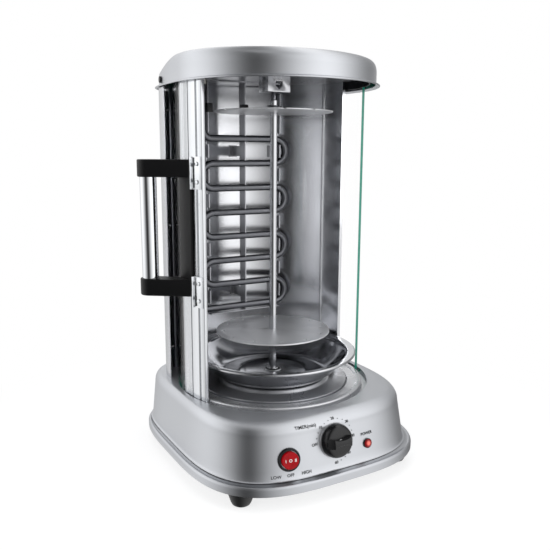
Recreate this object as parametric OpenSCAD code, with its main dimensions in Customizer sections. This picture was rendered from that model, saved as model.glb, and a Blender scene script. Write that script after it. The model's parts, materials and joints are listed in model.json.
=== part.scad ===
// Electric skewer grill: a vertical spit turns over a drip tray in front of a
// tubular heater, inside a round chamber closed by one curved sliding glass door.
// Millimetres. Origin: on the spit's axis, at floor level. +Z up, front to -Y.

/* [Base] */
// How far the base stands out beside the door's track, each side
base_side = 22.2; // [18:0.1:34]
// Depth of the base over its lip
base_d = 272; // [268:1:300]
// How far the base's middle lies in front of the spit's axis
base_ahead = 10.6; // [8:0.2:12]
// Squareness of the base's outline, 2 is an ellipse
base_square = 3.3; // [3.1:0.1:4.5]
// Extra squareness of the housing's rear corners
rear_square = 1.2; // [1:0.1:1.4]
// Height of the base from the underside of its lip to the chamber's floor
base_h = 66.5; // [64:0.5:90]
// Height of the lip around the bottom
lip_h = 10.5; // [8:0.5:14]
// Wall of the base housing
base_wall = 1.8; // [1.2:0.1:2.2]
// Wall of the bottom tray
tray_wall = 1.5; // [1:0.1:2.5]
// Height of the rubber feet
foot_h = 15.5; // [10:0.5:25]
// Radius of a foot at the top
foot_r = 14; // [10:0.5:16]
// Distance of the feet from the middle, sideways
foot_x = 96; // [80:1:98]
// Distance of the feet from the base's middle, front and back
foot_y = 97; // [80:1:98]

/* [Chamber] */
// Clear height from the chamber's floor to the cap's lower edge
chamber_h = 321.4; // [300:0.5:400]
// Inner radius of the glass door
glass_ri = 104; // [103.6:0.1:104.2]
// Thickness of the glass
glass_t = 3; // [2.6:0.1:3.1]
// Angle of the glass's free edge, seen from above
glass_a0 = -12; // [-16:1:-4]
// Angle where the door's metal stile starts
stile_a0 = 178; // [176:1:180]
// Width of the stile along the arc, in degrees
stile_sweep = 22.5; // [20:0.5:26]
// Radius of the curved reflector
reflector_r = 100.8; // [100:0.1:101]
// Sheet of the reflector
reflector_t = 0.8; // [0.5:0.1:1.2]
// Angle from the side axis to the reflector's front edges
reflector_a = 5; // [3:1:12]
// Half width of the rear cover
cover_hw = 106.5; // [105:0.5:107]
// Distance of the rear cover's back from the axis
cover_back = 110.8; // [110.6:0.1:111.2]
// Corner radius of the rear cover
cover_corner = 58.7; // [50:0.1:60]
// Where the rear cover's front edges lie behind the axis
cover_front = 48; // [44:1:56]
// Sheet of the rear cover
cover_t = 0.8; // [0.6:0.1:1]

/* [Cap] */
// Height of the cap from its lower edge to its crown
cap_h = 29.8; // [28:0.2:40]
// Radius of the cap's wall
cap_r = 108.6; // [108.5:0.1:112]
// Sheet of the cap
cap_t = 0.7; // [0.5:0.1:0.7]
// How far the rolled edge stands out from the cap's wall
cap_edge = 4; // [2:0.5:6]
// Width of the hanger under the cap
hanger_w = 27; // [20:1:36]

/* [Spit] */
// Diameter of the spit
spit_d = 8; // [6:0.5:10]
// Radius of the lower plate
plate_r = 64.3; // [50:0.5:80]
// Height of the lower plate over the chamber's floor
plate_z = 55.4; // [48:0.5:80]
// Radius of the notched upper disc
disc_r = 63.8; // [50:0.5:80]
// Height of the upper disc over the chamber's floor
disc_z = 296; // [250:1:296]
// Skewer places around the discs
skewer_count = 12; // [6:1:16]
// How far the spit lifts to leave the drive
spit_lift = 6; // [5.5:0.5:6.5]

/* [Drip tray] */
// Outer radius of the drip tray
drip_r = 94.5; // [90:0.5:96]
// Height of the tray's rim over the chamber's floor
drip_rim_z = 32.6; // [26:0.2:34]
// Sheet of the drip tray
drip_t = 0.8; // [0.6:0.1:1.2]

/* [Heater] */
// Diameter of the heater tube
heater_d = 8; // [6:0.5:9]
// Passes of the heater tube
heater_rows = 8; // [4:2:8]
// Distance between two passes
heater_pitch = 28.5; // [26:0.5:30]
// Half length of the straight passes
heater_half = 41; // [36:1:41]
// Distance of the heater behind the axis
heater_y = 69; // [69:0.5:70]
// Height of the lowest pass over the chamber's floor
heater_z = 69.7; // [60:0.5:80]

/* [Handle] */
// Diameter of the handle tube
grip_d = 17; // [14:0.5:20]
// Distance of the handle tube's centre from the spit's axis
grip_r = 139; // [136:0.5:146]
// Height of the handle's lower end over the chamber's floor
handle_z = 108; // [90:1:120]
// Length of the handle
handle_len = 138.5; // [120:0.5:180]
// Height of a handle arm
arm_h = 17.5; // [14:0.5:22]

/* [Controls] */
// Diameter of the timer knob
knob_d = 34; // [30:1:40]
// Sideways place of the timer knob
knob_x = -4.5; // [-8:0.5:4]
// Height of the timer knob, from the chamber's floor
knob_z = -26.5; // [-28:0.5:-25]
// Diameter of the round switch
switch_d = 23; // [20:0.5:24]
// Sideways place of the switch
switch_x = -56.5; // [-62:0.5:-50]
// Height of the switch, from the chamber's floor
switch_z = -35.5; // [-37:0.5:-34]
// Diameter of the power lamp
lamp_d = 10; // [8:0.5:12]
// Sideways place of the lamp
lamp_x = 35; // [28:0.5:50]
// Height of the lamp, from the chamber's floor
lamp_z = -38; // [-40:0.5:-34]

/* [Hidden] */
$fn = 96;

// Named clearances
run_gap = 0.05;      // radial clearance of a running fit
seat_gap = 0.3;      // gap between pieces of two bodies that rest on each other
slot_gap = 0.5;      // clearance of the door in its tracks, each side
track_t = 0.8;       // sheet of the two door tracks

// The door runs in a slot; the base's width is counted from it
stile_lip = 0.5;                              // how far the stile stands outside the glass
slot_ri = glass_ri - 1.4 - slot_gap;          // inner wall of the door's slot
slot_ro = glass_ri + glass_t + stile_lip + slot_gap;
base_w = 2 * (slot_ro + track_t + base_side);

// Heights, from the floor. z0 is the chamber's floor, the crest of the door track's rim.
z0 = foot_h + base_h;
deck_z = z0 - 1;                       // top of the base housing
deck_under = deck_z - base_wall;
cap_z = z0 + chamber_h;                // lower edge of the cap
cap_top = cap_z + cap_h;
ceiling_t = 1.2;
ceiling_z = cap_top - 17.6;            // underside of the ceiling plate
cap_back = cover_back + 1.5;           // back of the cap's wall at its upper edge
cap_lean = 2;                          // how far the back of the wall leans out towards the edge
cap_square = 3.6;                      // how square the rear corners are, as a superellipse's exponent
cap_screw_z = cap_z + 7.6;
crown_h = 15.9;                        // height of the crown over the cap's wall

// ---------------------------------------------------------------- outlines and skins

// Points of a superellipse with half sizes hx and hy, moved by cy, its rear corners squarer by extra
function oval(hx, hy, cy, extra, n = 64) = [for (i = [0 : n - 1])
    let (a = 360 * i / n, c = cos(a), s = sin(a), q = 2 / (s > 0 ? base_square + extra : base_square))
        [hx * sign(c) * pow(abs(c), q), cy + hy * sign(s) * pow(abs(s), q)]];

// Points of the cap's outline: half width, front and back; half round in front, squarer corners behind
function cap_outline(hw, front, back, n = 80) = [for (i = [0 : n - 1])
    let (a = 360 * i / n, c = cos(a), v = sin(a), q = v > 0 ? 2 / cap_square : 1)
        [hw * sign(c) * pow(abs(c), q), (v > 0 ? back : front) * sign(v) * pow(abs(v), q)]];

// One closed body through outlines that have the same number of points; rings = [[points, z], ...]
module skin(rings) {
    n = len(rings[0][0]);
    m = len(rings);
    polyhedron(
        points = [for (r = rings, p = r[0]) [p[0], p[1], r[1]]],
        faces = concat(
            [[for (i = [0 : n - 1]) i]],
            [for (k = [0 : m - 2], i = [0 : n - 1]) let (j = (i + 1) % n)
                each [[k * n + i, (k + 1) * n + i, (k + 1) * n + j], [k * n + i, (k + 1) * n + j, k * n + j]]],
            [[for (i = [n - 1 : -1 : 0]) (m - 1) * n + i]]),
        convexity = 6);
}

// Part of a ring: radii r1 to r2, angles a1 to a2, heights za to zb
module arc_band(r1, r2, a1, a2, za, zb) {
    rotate([0, 0, a1]) rotate_extrude(angle = a2 - a1) translate([r1, za]) square([r2 - r1, zb - za]);
}

// Solid of revolution from a list of [radius, height]
module turned(points) { rotate_extrude() polygon(points); }

// ---------------------------------------------------------------- base

shelf = 8;               // width of the shelf between lip and housing wall
foot_back = 4.6;         // the same at the back, where the housing comes closer to the lip
wall_draft = 4.5;        // how far the wall leans in over its height
shoulder_x = 7;          // shoulder's rounding at the sides
shoulder_front = 14;     // shoulder's rounding in front
shoulder_back = 7.5;     // shoulder's rounding at the back
shoulder_h = 12;         // height of the shoulder's rounding
front_lean = 7.6;        // how far the front face leans back over its height
back_lean = 1.4;         // how far the back face leans in over its height

lip_top = foot_h + lip_h;
wall_bottom = lip_top + 1;
wall_top = deck_z - shoulder_h;
lip_front = -base_ahead - base_d / 2;
lip_back = -base_ahead + base_d / 2;

// Half width, front and back of the housing: at the wall's foot (t = 0) and at its top (t = 1)
function wall_hx(t) = base_w / 2 - shelf + 0.5 - wall_draft * t;
function wall_front(t) = lip_front + shelf + 0.6 + front_lean * t;
function wall_back(t) = lip_back - foot_back - back_lean * t;
function wall_ring(t, z, dx, df, db, shrink) = [oval(
    wall_hx(t) - dx - shrink, (wall_back(t) - db - wall_front(t) - df) / 2 - shrink,
    (wall_back(t) - db + wall_front(t) + df) / 2, rear_square), z];

// The housing's skin: a leaning wall, a rounded shoulder and a flat deck
module housing_skin(shrink, za, top) {
    skin(concat(
        [wall_ring(0, za, 0, 0, 0, shrink), wall_ring(1, wall_top, 0, 0, 0, shrink)],
        [for (a = [20, 40, 60, 75, 90]) let (k = 1 - cos(a))
            wall_ring(1, wall_top + (top - wall_top) * sin(a),
                shoulder_x * k, shoulder_front * k, shoulder_back * k, shrink)]));
}

// Places on the front face: local -Y points out of the face, local Z up along it
face_tilt = atan(front_lean / (wall_top - wall_bottom));
function wall_t(z) = (z0 + z - wall_bottom) / (wall_top - wall_bottom);
function face_y(x, z) = let (t = wall_t(z), hy = (wall_back(t) - wall_front(t)) / 2,
    q = pow(abs(x) / wall_hx(t), base_square)) wall_front(t) + hy - hy * pow(1 - q, 1 / base_square);
function face_turn(x, z) = atan((face_y(x + 0.5, z) - face_y(x - 0.5, z)));
module on_face(x, z) {
    translate([x, face_y(x, z), z0 + z]) rotate([0, 0, face_turn(x, z)]) rotate([-face_tilt, 0, 0]) children();
}
// Round bar along the face's normal: from depth y1 to y2, negative is outside
module face_bar(r, y1, y2) { translate([0, y1, 0]) rotate([-90, 0, 0]) cylinder(r = r, h = y2 - y1); }

column_at = [[-100, -76], [100, -76], [-100, 64], [100, 64]];   // screw columns of the housing
column_r = 4;
foot_at = [for (sy = [-1, 1], sx = [-1, 1]) [sx * foot_x, -base_ahead + sy * foot_y]];
post_at = [[-83, 86], [83, 86]];                                // corner posts
post_w = 9;
screw_r = 2;            // M4
inlet_x = 40;
inlet_z = z0 - 38;
inlet_r = 7;
timer_bush_r = 4.8;
switch_bore_r = switch_d / 2 - 1.5;
lamp_bore_r = lamp_d / 2 - 0.6;

module base_housing() {
    color("silver") difference() {
        union() {
            difference() {
                housing_skin(0, wall_bottom, deck_z);
                housing_skin(base_wall, wall_bottom - 1, deck_under);
            }
            for (p = column_at) translate([p[0], p[1], foot_h + tray_wall]) cylinder(r = column_r,
                h = deck_under - foot_h - tray_wall + 0.5);
        }
        translate([0, 0, deck_under - 1]) cylinder(r = slot_ro, h = base_wall + 3);
        for (p = column_at) translate([p[0], p[1], foot_h]) cylinder(r = screw_r - 0.3, h = 24);
        for (p = post_at) translate([p[0], p[1], deck_under - 1]) cylinder(r = screw_r + 0.3, h = base_wall + 2);
        on_face(knob_x, knob_z) face_bar(timer_bush_r + 0.1, -9, 6);
        on_face(switch_x, switch_z) face_bar(switch_bore_r + 0.1, -9, 6);
        on_face(lamp_x, lamp_z) face_bar(lamp_bore_r + 0.1, -9, 6);
        translate([inlet_x, lip_back - 30, inlet_z]) rotate([-90, 0, 0]) cylinder(r = inlet_r, h = 30);
    }
}

// The lip's outline, moved inwards; it follows the housing's rear corners less far
function lip_outline(inset) = oval(base_w / 2 - inset, base_d / 2 - inset, -base_ahead, rear_square - 0.6);

// Shallow tray: its rounded lip shows all round, the housing stands on its shelf
module bottom_tray() {
    inner = shelf + base_wall + 1.5;
    color("silver") difference() {
        skin([for (r = [[foot_h, 1.6], [foot_h + 1.4, 0], [lip_top - 2.4, 0], [lip_top - 0.8, 0.7], [lip_top, 2.2],
                [wall_bottom, 2.8]]) [lip_outline(r[1]), r[0]]]);
        skin([[lip_outline(tray_wall + 1), foot_h + tray_wall], [lip_outline(tray_wall + 1), lip_top - tray_wall],
            [lip_outline(inner), lip_top - tray_wall + 0.2], [lip_outline(inner), wall_bottom + 1]]);
        for (p = concat(foot_at, column_at)) translate([p[0], p[1], foot_h - 1])
            cylinder(r = screw_r + 0.3, h = tray_wall + 2);
        for (x = [-45 : 15 : 45], y = [40, 58]) translate([x, y, foot_h - 1]) cylinder(r = 3, h = tray_wall + 2);
    }
}

foot_bore = 4.5;
module foot(p) {
    color([0.09, 0.09, 0.1]) translate([p[0], p[1], 0]) difference() {
        turned([[0, 0], [foot_r - 7, 0], [foot_r - 5.2, 1.2], [foot_r, foot_h], [0, foot_h]]);
        translate([0, 0, -1]) cylinder(r = foot_bore, h = foot_h - 5);
        cylinder(r = screw_r + 0.3, h = foot_h + 1);
    }
}

module screw(head_r, head_h, shank_r, shank_len) {
    translate([0, 0, -head_h]) cylinder(r = head_r, h = head_h);
    cylinder(r = shank_r, h = shank_len);
}

nut_h = 3.2;
module foot_screws() {
    color("gray") for (p = foot_at) translate([p[0], p[1], foot_h - 6]) {
        screw(4, 2.6, screw_r, 6 + tray_wall + nut_h + 1);
        translate([0, 0, 6 + tray_wall]) difference() {
            cylinder(r = 3.9, h = nut_h, $fn = 6);
            translate([0, 0, -1]) cylinder(r = screw_r - 0.01, h = nut_h + 2);
        }
    }
}

module base_screws() {
    color("gray") for (p = column_at) translate([p[0], p[1], foot_h]) screw(3.6, 2.2, screw_r - 0.3, 18);
}

// ---------------------------------------------------------------- chamber floor and drive

slot_depth = 6.2;                              // floor of the slot under the deck
annulus_z = -1.8;                              // the flat ring inside the rim
centre_r = 84.3;                               // edge of the centre plate
ledge_r = 80;
step_r = 62;                                   // raised middle of the centre plate
step_h = 4;

// The stamped ring round the centre plate, with the channel in which the door runs
module door_track() {
    t = track_t;
    slot_floor = deck_z - z0 - slot_depth;
    color("silver") translate([0, 0, z0]) difference() {
        turned([[ledge_r, -3.2], [centre_r + 0.5, -3.2], [centre_r + 1.2, annulus_z], [slot_ri - 7, annulus_z],
            [slot_ri - 4.4, 0], [slot_ri - 1.2, 0], [slot_ri, -1.2], [slot_ri, slot_floor], [slot_ro, slot_floor],
            [slot_ro, deck_under - z0], [slot_ro + t, deck_under - z0], [slot_ro + t, slot_floor - t],
            [slot_ri - t, slot_floor - t], [slot_ri - t, -1.5], [slot_ri - 1.4, -t], [slot_ri - 4.2, -t],
            [slot_ri - 6.8, annulus_z - t], [centre_r + 0.6, annulus_z - t], [centre_r - 0.1, -3.2 - t],
            [ledge_r, -3.2 - t]]);
    }
}

// Centre plate: rests on the ring's ledge, its raised middle carries the drip tray
module centre_plate() {
    t = 1.2;
    color([0.35, 0.35, 0.37]) translate([0, 0, z0]) difference() {
        turned([[coupling_r + 1.5, step_h - t], [step_r - 1, step_h - t], [step_r + 0.4, -t], [ledge_r + 0.2, -t],
            [ledge_r + 0.2, -3.2], [centre_r, -3.2], [centre_r, 0], [step_r + 1.6, 0], [step_r, step_h],
            [coupling_r + 1.5, step_h]]);
        for (p = bracket_at) translate([p[0], p[1], step_h - t - 1]) cylinder(r = 1.7, h = t + 2);
    }
}

coupling_r = 9;
coupling_top = 2;
coupling_bottom = -20;
bracket_x = 30;
bracket_y = 20;
bracket_edge = 8;        // from the spacers to the bracket's edge
bracket_at = [for (sy = [-1, 1], sx = [-1, 1]) [sx * bracket_x, sy * bracket_y]];
bracket_z = -26;
motor_r = 24.5;
motor_h = 22;
motor_shaft_r = 3;

// Plate with four spacers, screwed up against the centre plate
module motor_bracket() {
    color("lightgray") translate([0, 0, z0]) difference() {
        union() {
            translate([-bracket_x - bracket_edge, -bracket_y - bracket_edge, bracket_z])
                cube([2 * (bracket_x + bracket_edge), 2 * (bracket_y + bracket_edge), 1.6]);
            for (p = bracket_at) translate([p[0], p[1], bracket_z]) cylinder(r = 3.6, h = step_h - 1.2 - bracket_z);
        }
        translate([0, 0, bracket_z - 1]) cylinder(r = 8.2, h = 4);
        for (p = bracket_at) translate([p[0], p[1], bracket_z - 1]) cylinder(r = 1.4, h = step_h - bracket_z + 2);
        for (s = [-1, 1]) translate([s * (motor_r + 5), 0, bracket_z - 1]) cylinder(r = 1.7, h = 4);
    }
}

module motor_screws() {
    color("gray") translate([0, 0, z0]) {
        for (p = bracket_at) translate([p[0], p[1], step_h]) mirror([0, 0, 1]) screw(2.8, 1.6, 1.38, 12);
        for (s = [-1, 1]) translate([s * (motor_r + 5), 0, bracket_z - 2]) {
            screw(2.8, 1.8, 1.5, 7);
            translate([0, 0, 3.6]) cylinder(r = 2.8, h = 2.2, $fn = 6);
        }
    }
}

// Synchronous motor with its gearbox, a flat can with two ears
module gear_motor() {
    color([0.75, 0.75, 0.78]) translate([0, 0, z0]) difference() {
        union() {
            translate([0, 0, bracket_z - motor_h]) cylinder(r = motor_r, h = motor_h);
            translate([0, 0, bracket_z]) cylinder(r = 8, h = 3.4);
            for (s = [-1, 1]) translate([s * (motor_r + 2) - 7, -6, bracket_z - 2]) cube([14, 12, 2]);
        }
        translate([0, 0, bracket_z - 10]) cylinder(r = motor_shaft_r + run_gap, h = 20);
        for (s = [-1, 1]) translate([s * (motor_r + 5), 0, bracket_z - 5]) cylinder(r = 1.7, h = 8);
    }
}

module motor_shaft() {
    color("lightgray") translate([0, 0, z0 + bracket_z - 9.5])
        cylinder(r = motor_shaft_r, h = coupling_bottom + 9 - bracket_z + 9.5);
}

pin_r = 2;
pin_z = -1.6;            // height of the spit's cross pin
spit_foot = -9;          // lower end of the spit
module drive_coupling() {
    color("lightgray") translate([0, 0, z0]) difference() {
        translate([0, 0, coupling_bottom]) cylinder(r = coupling_r, h = coupling_top - coupling_bottom);
        translate([0, 0, coupling_bottom - 1]) cylinder(r = motor_shaft_r, h = 10);
        translate([0, 0, spit_foot - seat_gap]) cylinder(r = spit_d / 2 + 0.1, h = 20);
        translate([-coupling_r - 1, -pin_r - 0.2, pin_z - pin_r - seat_gap])
            cube([2 * coupling_r + 2, 2 * pin_r + 0.4, 10]);
    }
}

// ---------------------------------------------------------------- spit

tip_r = 2.5;
tip_z = 309;             // shoulder under the spit's tip
tip_seat = 10;           // how deep the tip is pressed in
tip_top = ceiling_z - z0 - spit_lift - 7;
module spit_shaft() {
    color("gainsboro") translate([0, 0, z0]) difference() {
        translate([0, 0, spit_foot]) cylinder(r = spit_d / 2, h = tip_z - spit_foot);
        translate([-10, 0, pin_z]) rotate([0, 90, 0]) cylinder(r = pin_r, h = 20);
        translate([0, 0, tip_z - tip_seat]) cylinder(r = tip_r, h = tip_seat + 1);
    }
}

// Turned pin pressed into the spit's upper end; it turns in the hanger
module spit_tip() {
    color("gray") translate([0, 0, z0 + tip_z - tip_seat]) cylinder(r = tip_r, h = tip_top - tip_z + tip_seat);
}

// Small ring on the spit over the tray's hole, sheds fat to the tray
module drip_ring() {
    color("gainsboro") translate([0, 0, z0 + eyelet_top + 0.5]) difference() {
        cylinder(r1 = 6.8, r2 = 6.2, h = 1.2);
        translate([0, 0, -1]) cylinder(r = spit_d / 2, h = 3);
    }
}

module spit_drive_pin() {
    color("gray") translate([-7, 0, z0 + pin_z]) rotate([0, 90, 0]) cylinder(r = pin_r, h = 14);
}

lower_t = 1.5;
module lower_plate() {
    color("gainsboro") translate([0, 0, z0 + plate_z - lower_t]) difference() {
        cylinder(r = plate_r, h = lower_t);
        translate([0, 0, -1]) cylinder(r = spit_d / 2, h = lower_t + 2);
        for (i = [0 : skewer_count - 1]) rotate([0, 0, 10 + 360 * i / skewer_count])
            translate([plate_r - 8, 0, -1]) cylinder(r = 1.6, h = lower_t + 2);
    }
}

// Collar clamped on the spit by a screw
module hub(r, h) {
    difference() {
        cylinder(r = r, h = h);
        translate([0, 0, -1]) cylinder(r = spit_d / 2, h = h + 2);
    }
    translate([0, -spit_d / 2, h / 2]) rotate([90, 0, 0]) cylinder(r = 1.5, h = r);
}

module lower_hub() {
    color("gainsboro") translate([0, 0, z0 + plate_z - lower_t - 8]) hub(8, 8);
}

upper_t = 1.2;
module upper_disc() {
    color("gainsboro") translate([0, 0, z0 + disc_z]) difference() {
        cylinder(r = disc_r, h = upper_t);
        translate([0, 0, -1]) cylinder(r = spit_d / 2, h = upper_t + 2);
        for (i = [0 : skewer_count - 1]) rotate([0, 0, 10 + 360 * i / skewer_count])
            translate([disc_r - 8, -1.6, -1]) cube([10, 3.2, upper_t + 2]);
    }
}

module upper_hub() {
    color("gainsboro") translate([0, 0, z0 + disc_z + upper_t]) hub(7, 6);
}

// ---------------------------------------------------------------- drip tray

collar_ri = 8.3;
collar_ro = 9.3;
drip_floor = step_h + seat_gap;      // underside of the tray where it rests
module drip_tray() {
    t = drip_t;
    f = drip_floor;
    z = drip_rim_z;
    r = drip_r;
    color("whitesmoke") translate([0, 0, z0]) turned([
        [collar_ro, f + 2.6], [38, f + 2.6], [40.5, f], [57, f], [62, f + 1], [69, f + 5.5], [r - 12, z - 5.4],
        [r - 9, z - 2], [r - 7, z - 1.3], [r - 0.6, z - 1], [r - 0.6, z - 2.6], [r, z - 2.6], [r, z - 0.2],
        [r - 0.4, z], [r - 7.2, z - 1.3 + t], [r - 9.6, z - 2 + t], [r - 12.8, z - 5.4 + t],
        [68.5, f + 5.5 + t], [61.7, f + 1 + t],
        [57, f + t], [40.7, f + t], [38.3, f + 2.6 + t], [collar_ro, f + 2.6 + t]]);
}

// Low eyelet that lines the tray's hole
eyelet_top = drip_floor + 2.6 + drip_t + 1;
module tray_collar() {
    f = drip_floor;
    color("gainsboro") translate([0, 0, z0]) turned([[collar_ri, f + 0.6], [collar_ro, f + 0.6],
        [collar_ro, eyelet_top - 1], [collar_ro + 1, eyelet_top - 1], [collar_ro + 0.8, eyelet_top - 0.3],
        [collar_ro, eyelet_top], [collar_ri, eyelet_top]]);
}

// ---------------------------------------------------------------- heater and reflector

// Half round polished sheet round the back of the chamber, with folded front edges
module reflector() {
    h = ceiling_z - z0;
    color("lightgray") translate([0, 0, z0]) difference() {
        arc_band(reflector_r - 4, reflector_r, reflector_a, 180 - reflector_a, 0, h);
        arc_band(reflector_r - 5, reflector_r - reflector_t, reflector_a + 0.6, 179.4 - reflector_a, -1, h + 1);
    }
}

leg_bend = 10;
top_leg_x = -heater_half - 2 - leg_bend;
riser_x = -heater_half - heater_pitch / 2 - heater_d - 1.5;
leg_at = [top_leg_x, riser_x];
insulator_r = 5;

module bend(r, a1, a2) {
    rotate([90, 0, 0]) rotate([0, 0, a1]) rotate_extrude(angle = a2 - a1) translate([r, 0]) circle(d = heater_d);
}

// One tube: down a riser at the side, back and forth, and up again; both ends pass the ceiling
module heater_element() {
    top_row = heater_z + (heater_rows - 1) * heater_pitch;
    end_z = ceiling_z - z0 + ceiling_t + 5;
    color([0.3, 0.31, 0.33]) translate([0, heater_y, z0]) {
        for (i = [0 : heater_rows - 1]) translate([-heater_half, 0, heater_z + i * heater_pitch])
            rotate([0, 90, 0]) cylinder(d = heater_d, h = 2 * heater_half);
        for (i = [0 : heater_rows - 2]) {
            right = i % 2 == 0;
            translate([right ? heater_half : -heater_half, 0, heater_z + (i + 0.5) * heater_pitch])
                bend(heater_pitch / 2, right ? -90 : 90, right ? 90 : 270);
        }
        for (leg = [[heater_z, riser_x], [top_row, top_leg_x]]) {
            translate([leg[1] + leg_bend, 0, leg[0]]) rotate([0, 90, 0])
                cylinder(d = heater_d, h = -heater_half - leg[1] - leg_bend);
            translate([leg[1] + leg_bend, 0, leg[0] + leg_bend]) bend(leg_bend, 180, 270);
            translate([leg[1], 0, leg[0] + leg_bend]) cylinder(d = heater_d, h = end_z - leg[0] - leg_bend);
        }
    }
}

carrier_x = heater_half + 6;
frame_at = [-carrier_x, 0, carrier_x];                 // the three upright carriers
notch = 6.6;                                           // half height of an outer carrier's notch
carrier_t = 1.2;
carrier_front = heater_y - 2.5;
carrier_depth = 13;
carrier_foot = heater_z - heater_d / 2 - 3;
strut_z = [heater_z + 0.5 * heater_pitch - 6, heater_z + (heater_rows - 1.5) * heater_pitch - 6];
strut_h = 12;
seat_w = 10;                                           // a strut's flange on the reflector
seat_d = sqrt(pow(reflector_r - reflector_t, 2) - seat_w * seat_w / 4);

// Three upright carriers with seats for the tube, tied to the ceiling and to the reflector
module heater_frame() {
    top = ceiling_z - z0;
    color("lightgray") translate([0, 0, z0]) {
        difference() {
            union() {
                for (x = frame_at) translate([x - carrier_t / 2, carrier_front, carrier_foot])
                    cube([carrier_t, carrier_depth, top - carrier_foot]);
                for (z = [carrier_foot, top - 1.2]) translate([frame_at[0], carrier_front, z])
                    cube([frame_at[2] - frame_at[0], carrier_depth, 1.2]);
            }
            for (i = [0 : heater_rows - 1]) {
                translate([-5, heater_y, heater_z + i * heater_pitch])
                    rotate([0, 90, 0]) cylinder(r = heater_d / 2 + 0.15, h = 10);
                for (x = [-carrier_x, carrier_x])
                    translate([x - 1, carrier_front - 1, heater_z + i * heater_pitch - notch])
                        cube([2, heater_y - carrier_front + heater_d / 2 + 1.15, 2 * notch]);
            }
        }
        for (x = frame_at, z = strut_z) {
            back = sqrt(seat_d * seat_d - x * x) - 1.2;
            front = carrier_front + carrier_depth - 1;
            translate([x - carrier_t / 2, front, z]) cube([carrier_t, back - front + 0.6, strut_h]);
            rotate([0, 0, -asin(x / seat_d)]) translate([-seat_w / 2, seat_d - 1.2, z - 1])
                cube([seat_w, 1.2, strut_h + 2]);
        }
    }
}

// Dark clips pressed on the carriers near their top
clamp_z = 303;
clamp_w = 6.6;
clamp_h = 10;
module heater_clamps() {
    color([0.15, 0.15, 0.16]) translate([0, 0, z0 + clamp_z]) for (x = frame_at) difference() {
        translate([x - clamp_w / 2 - 1.7 * sign(x), carrier_front - 2, -clamp_h / 2]) cube([clamp_w, 9, clamp_h]);
        translate([x - carrier_t / 2, carrier_front, -clamp_h]) cube([carrier_t, carrier_depth, 2 * clamp_h]);
    }
}

// White bushes where the heater's ends pass the ceiling
module heater_insulators() {
    color("white") for (x = leg_at) translate([x, heater_y, ceiling_z]) difference() {
        union() {
            translate([0, 0, -5]) cylinder(r = insulator_r, h = 9);
            translate([0, 0, ceiling_t]) cylinder(r = insulator_r + 0.6, h = 3);
        }
        translate([0, 0, -6]) cylinder(r = heater_d / 2, h = 12);
    }
}

// ---------------------------------------------------------------- rear cover, ceiling and cap

cover_screw_z = [24, 170, 300];
cover_screw_r = 1.5;
// Places of the cover's screws, for the post on one side; local X points out of the sheet
module at_cover_screws(s) {
    for (z = cover_screw_z) translate([s * (cover_hw - cover_corner), cover_back - cover_corner, z0 + z])
        rotate([0, 0, s > 0 ? 41 : 139]) translate([cover_corner, 0, 0]) children();
}

module corner_posts() {
    color("lightgray") for (p = post_at) difference() {
        translate([p[0] - post_w / 2, p[1] - post_w / 2, deck_z]) cube([post_w, post_w, ceiling_z - deck_z]);
        for (z = [deck_z - 1, ceiling_z - 19]) translate([p[0], p[1], z]) cylinder(r = screw_r - 0.3, h = 20);
        at_cover_screws(sign(p[0])) rotate([0, -90, 0]) cylinder(r = cover_screw_r, h = 13);
    }
}

// U-shaped sheet behind the door's path; the cap's rolled edge lies on its corners
module rear_cover() {
    color("whitesmoke") difference() {
        translate([0, 0, deck_z]) linear_extrude(height = cap_z - deck_z) intersection() {
            difference() {
                u_shape(cover_hw, cover_back, cover_corner);
                u_shape(cover_hw - cover_t, cover_back - cover_t, cover_corner - cover_t);
            }
            translate([-cover_hw - 1, cover_front]) square([2 * cover_hw + 2, cover_back]);
        }
        for (s = [-1, 1]) at_cover_screws(s) translate([1, 0, 0]) rotate([0, -90, 0])
            cylinder(r = cover_screw_r, h = 4);
    }
}

// The same U with true arcs
module u_shape(hw, back, corner) {
    circle(r = hw);
    translate([-hw, 0]) square([2 * hw, back - corner]);
    for (s = [-1, 1]) translate([s * (hw - corner), back - corner]) circle(r = corner);
    translate([-hw + corner, 0]) square([2 * (hw - corner), back]);
}

module cover_screws() {
    color("dimgray") for (s = [-1, 1]) at_cover_screws(s) rotate([0, -90, 0]) screw(3.2, 2, cover_screw_r - 0.02, 12);
}

ceiling_hw = cap_r - cap_t - 0.3;
ceiling_back = cap_back - cap_t - 1.2;
tab_h = 10;
// The flat of the cap's wall that a tab lies on, at the height of its screw
tab_back = cap_back + cap_lean * (cap_top - crown_h - cap_screw_z) / (cap_top - crown_h - cap_z - 2.8);
tab_ends = [for (i = [3, 4]) cap_outline(cap_r, cap_r, tab_back)[i]];
tab_mid = (tab_ends[0] + tab_ends[1]) / 2;
tab_turn = atan((tab_ends[0][0] - tab_ends[1][0]) / (tab_ends[1][1] - tab_ends[0][1]));
// Places of the screws that hold the cap on the ceiling plate's tabs; local X points out
module at_tabs() {
    for (s = [-1, 1]) translate([s * tab_mid[0], tab_mid[1], cap_screw_z])
        rotate([0, 0, s > 0 ? tab_turn : 180 - tab_turn]) children();
}

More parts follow.
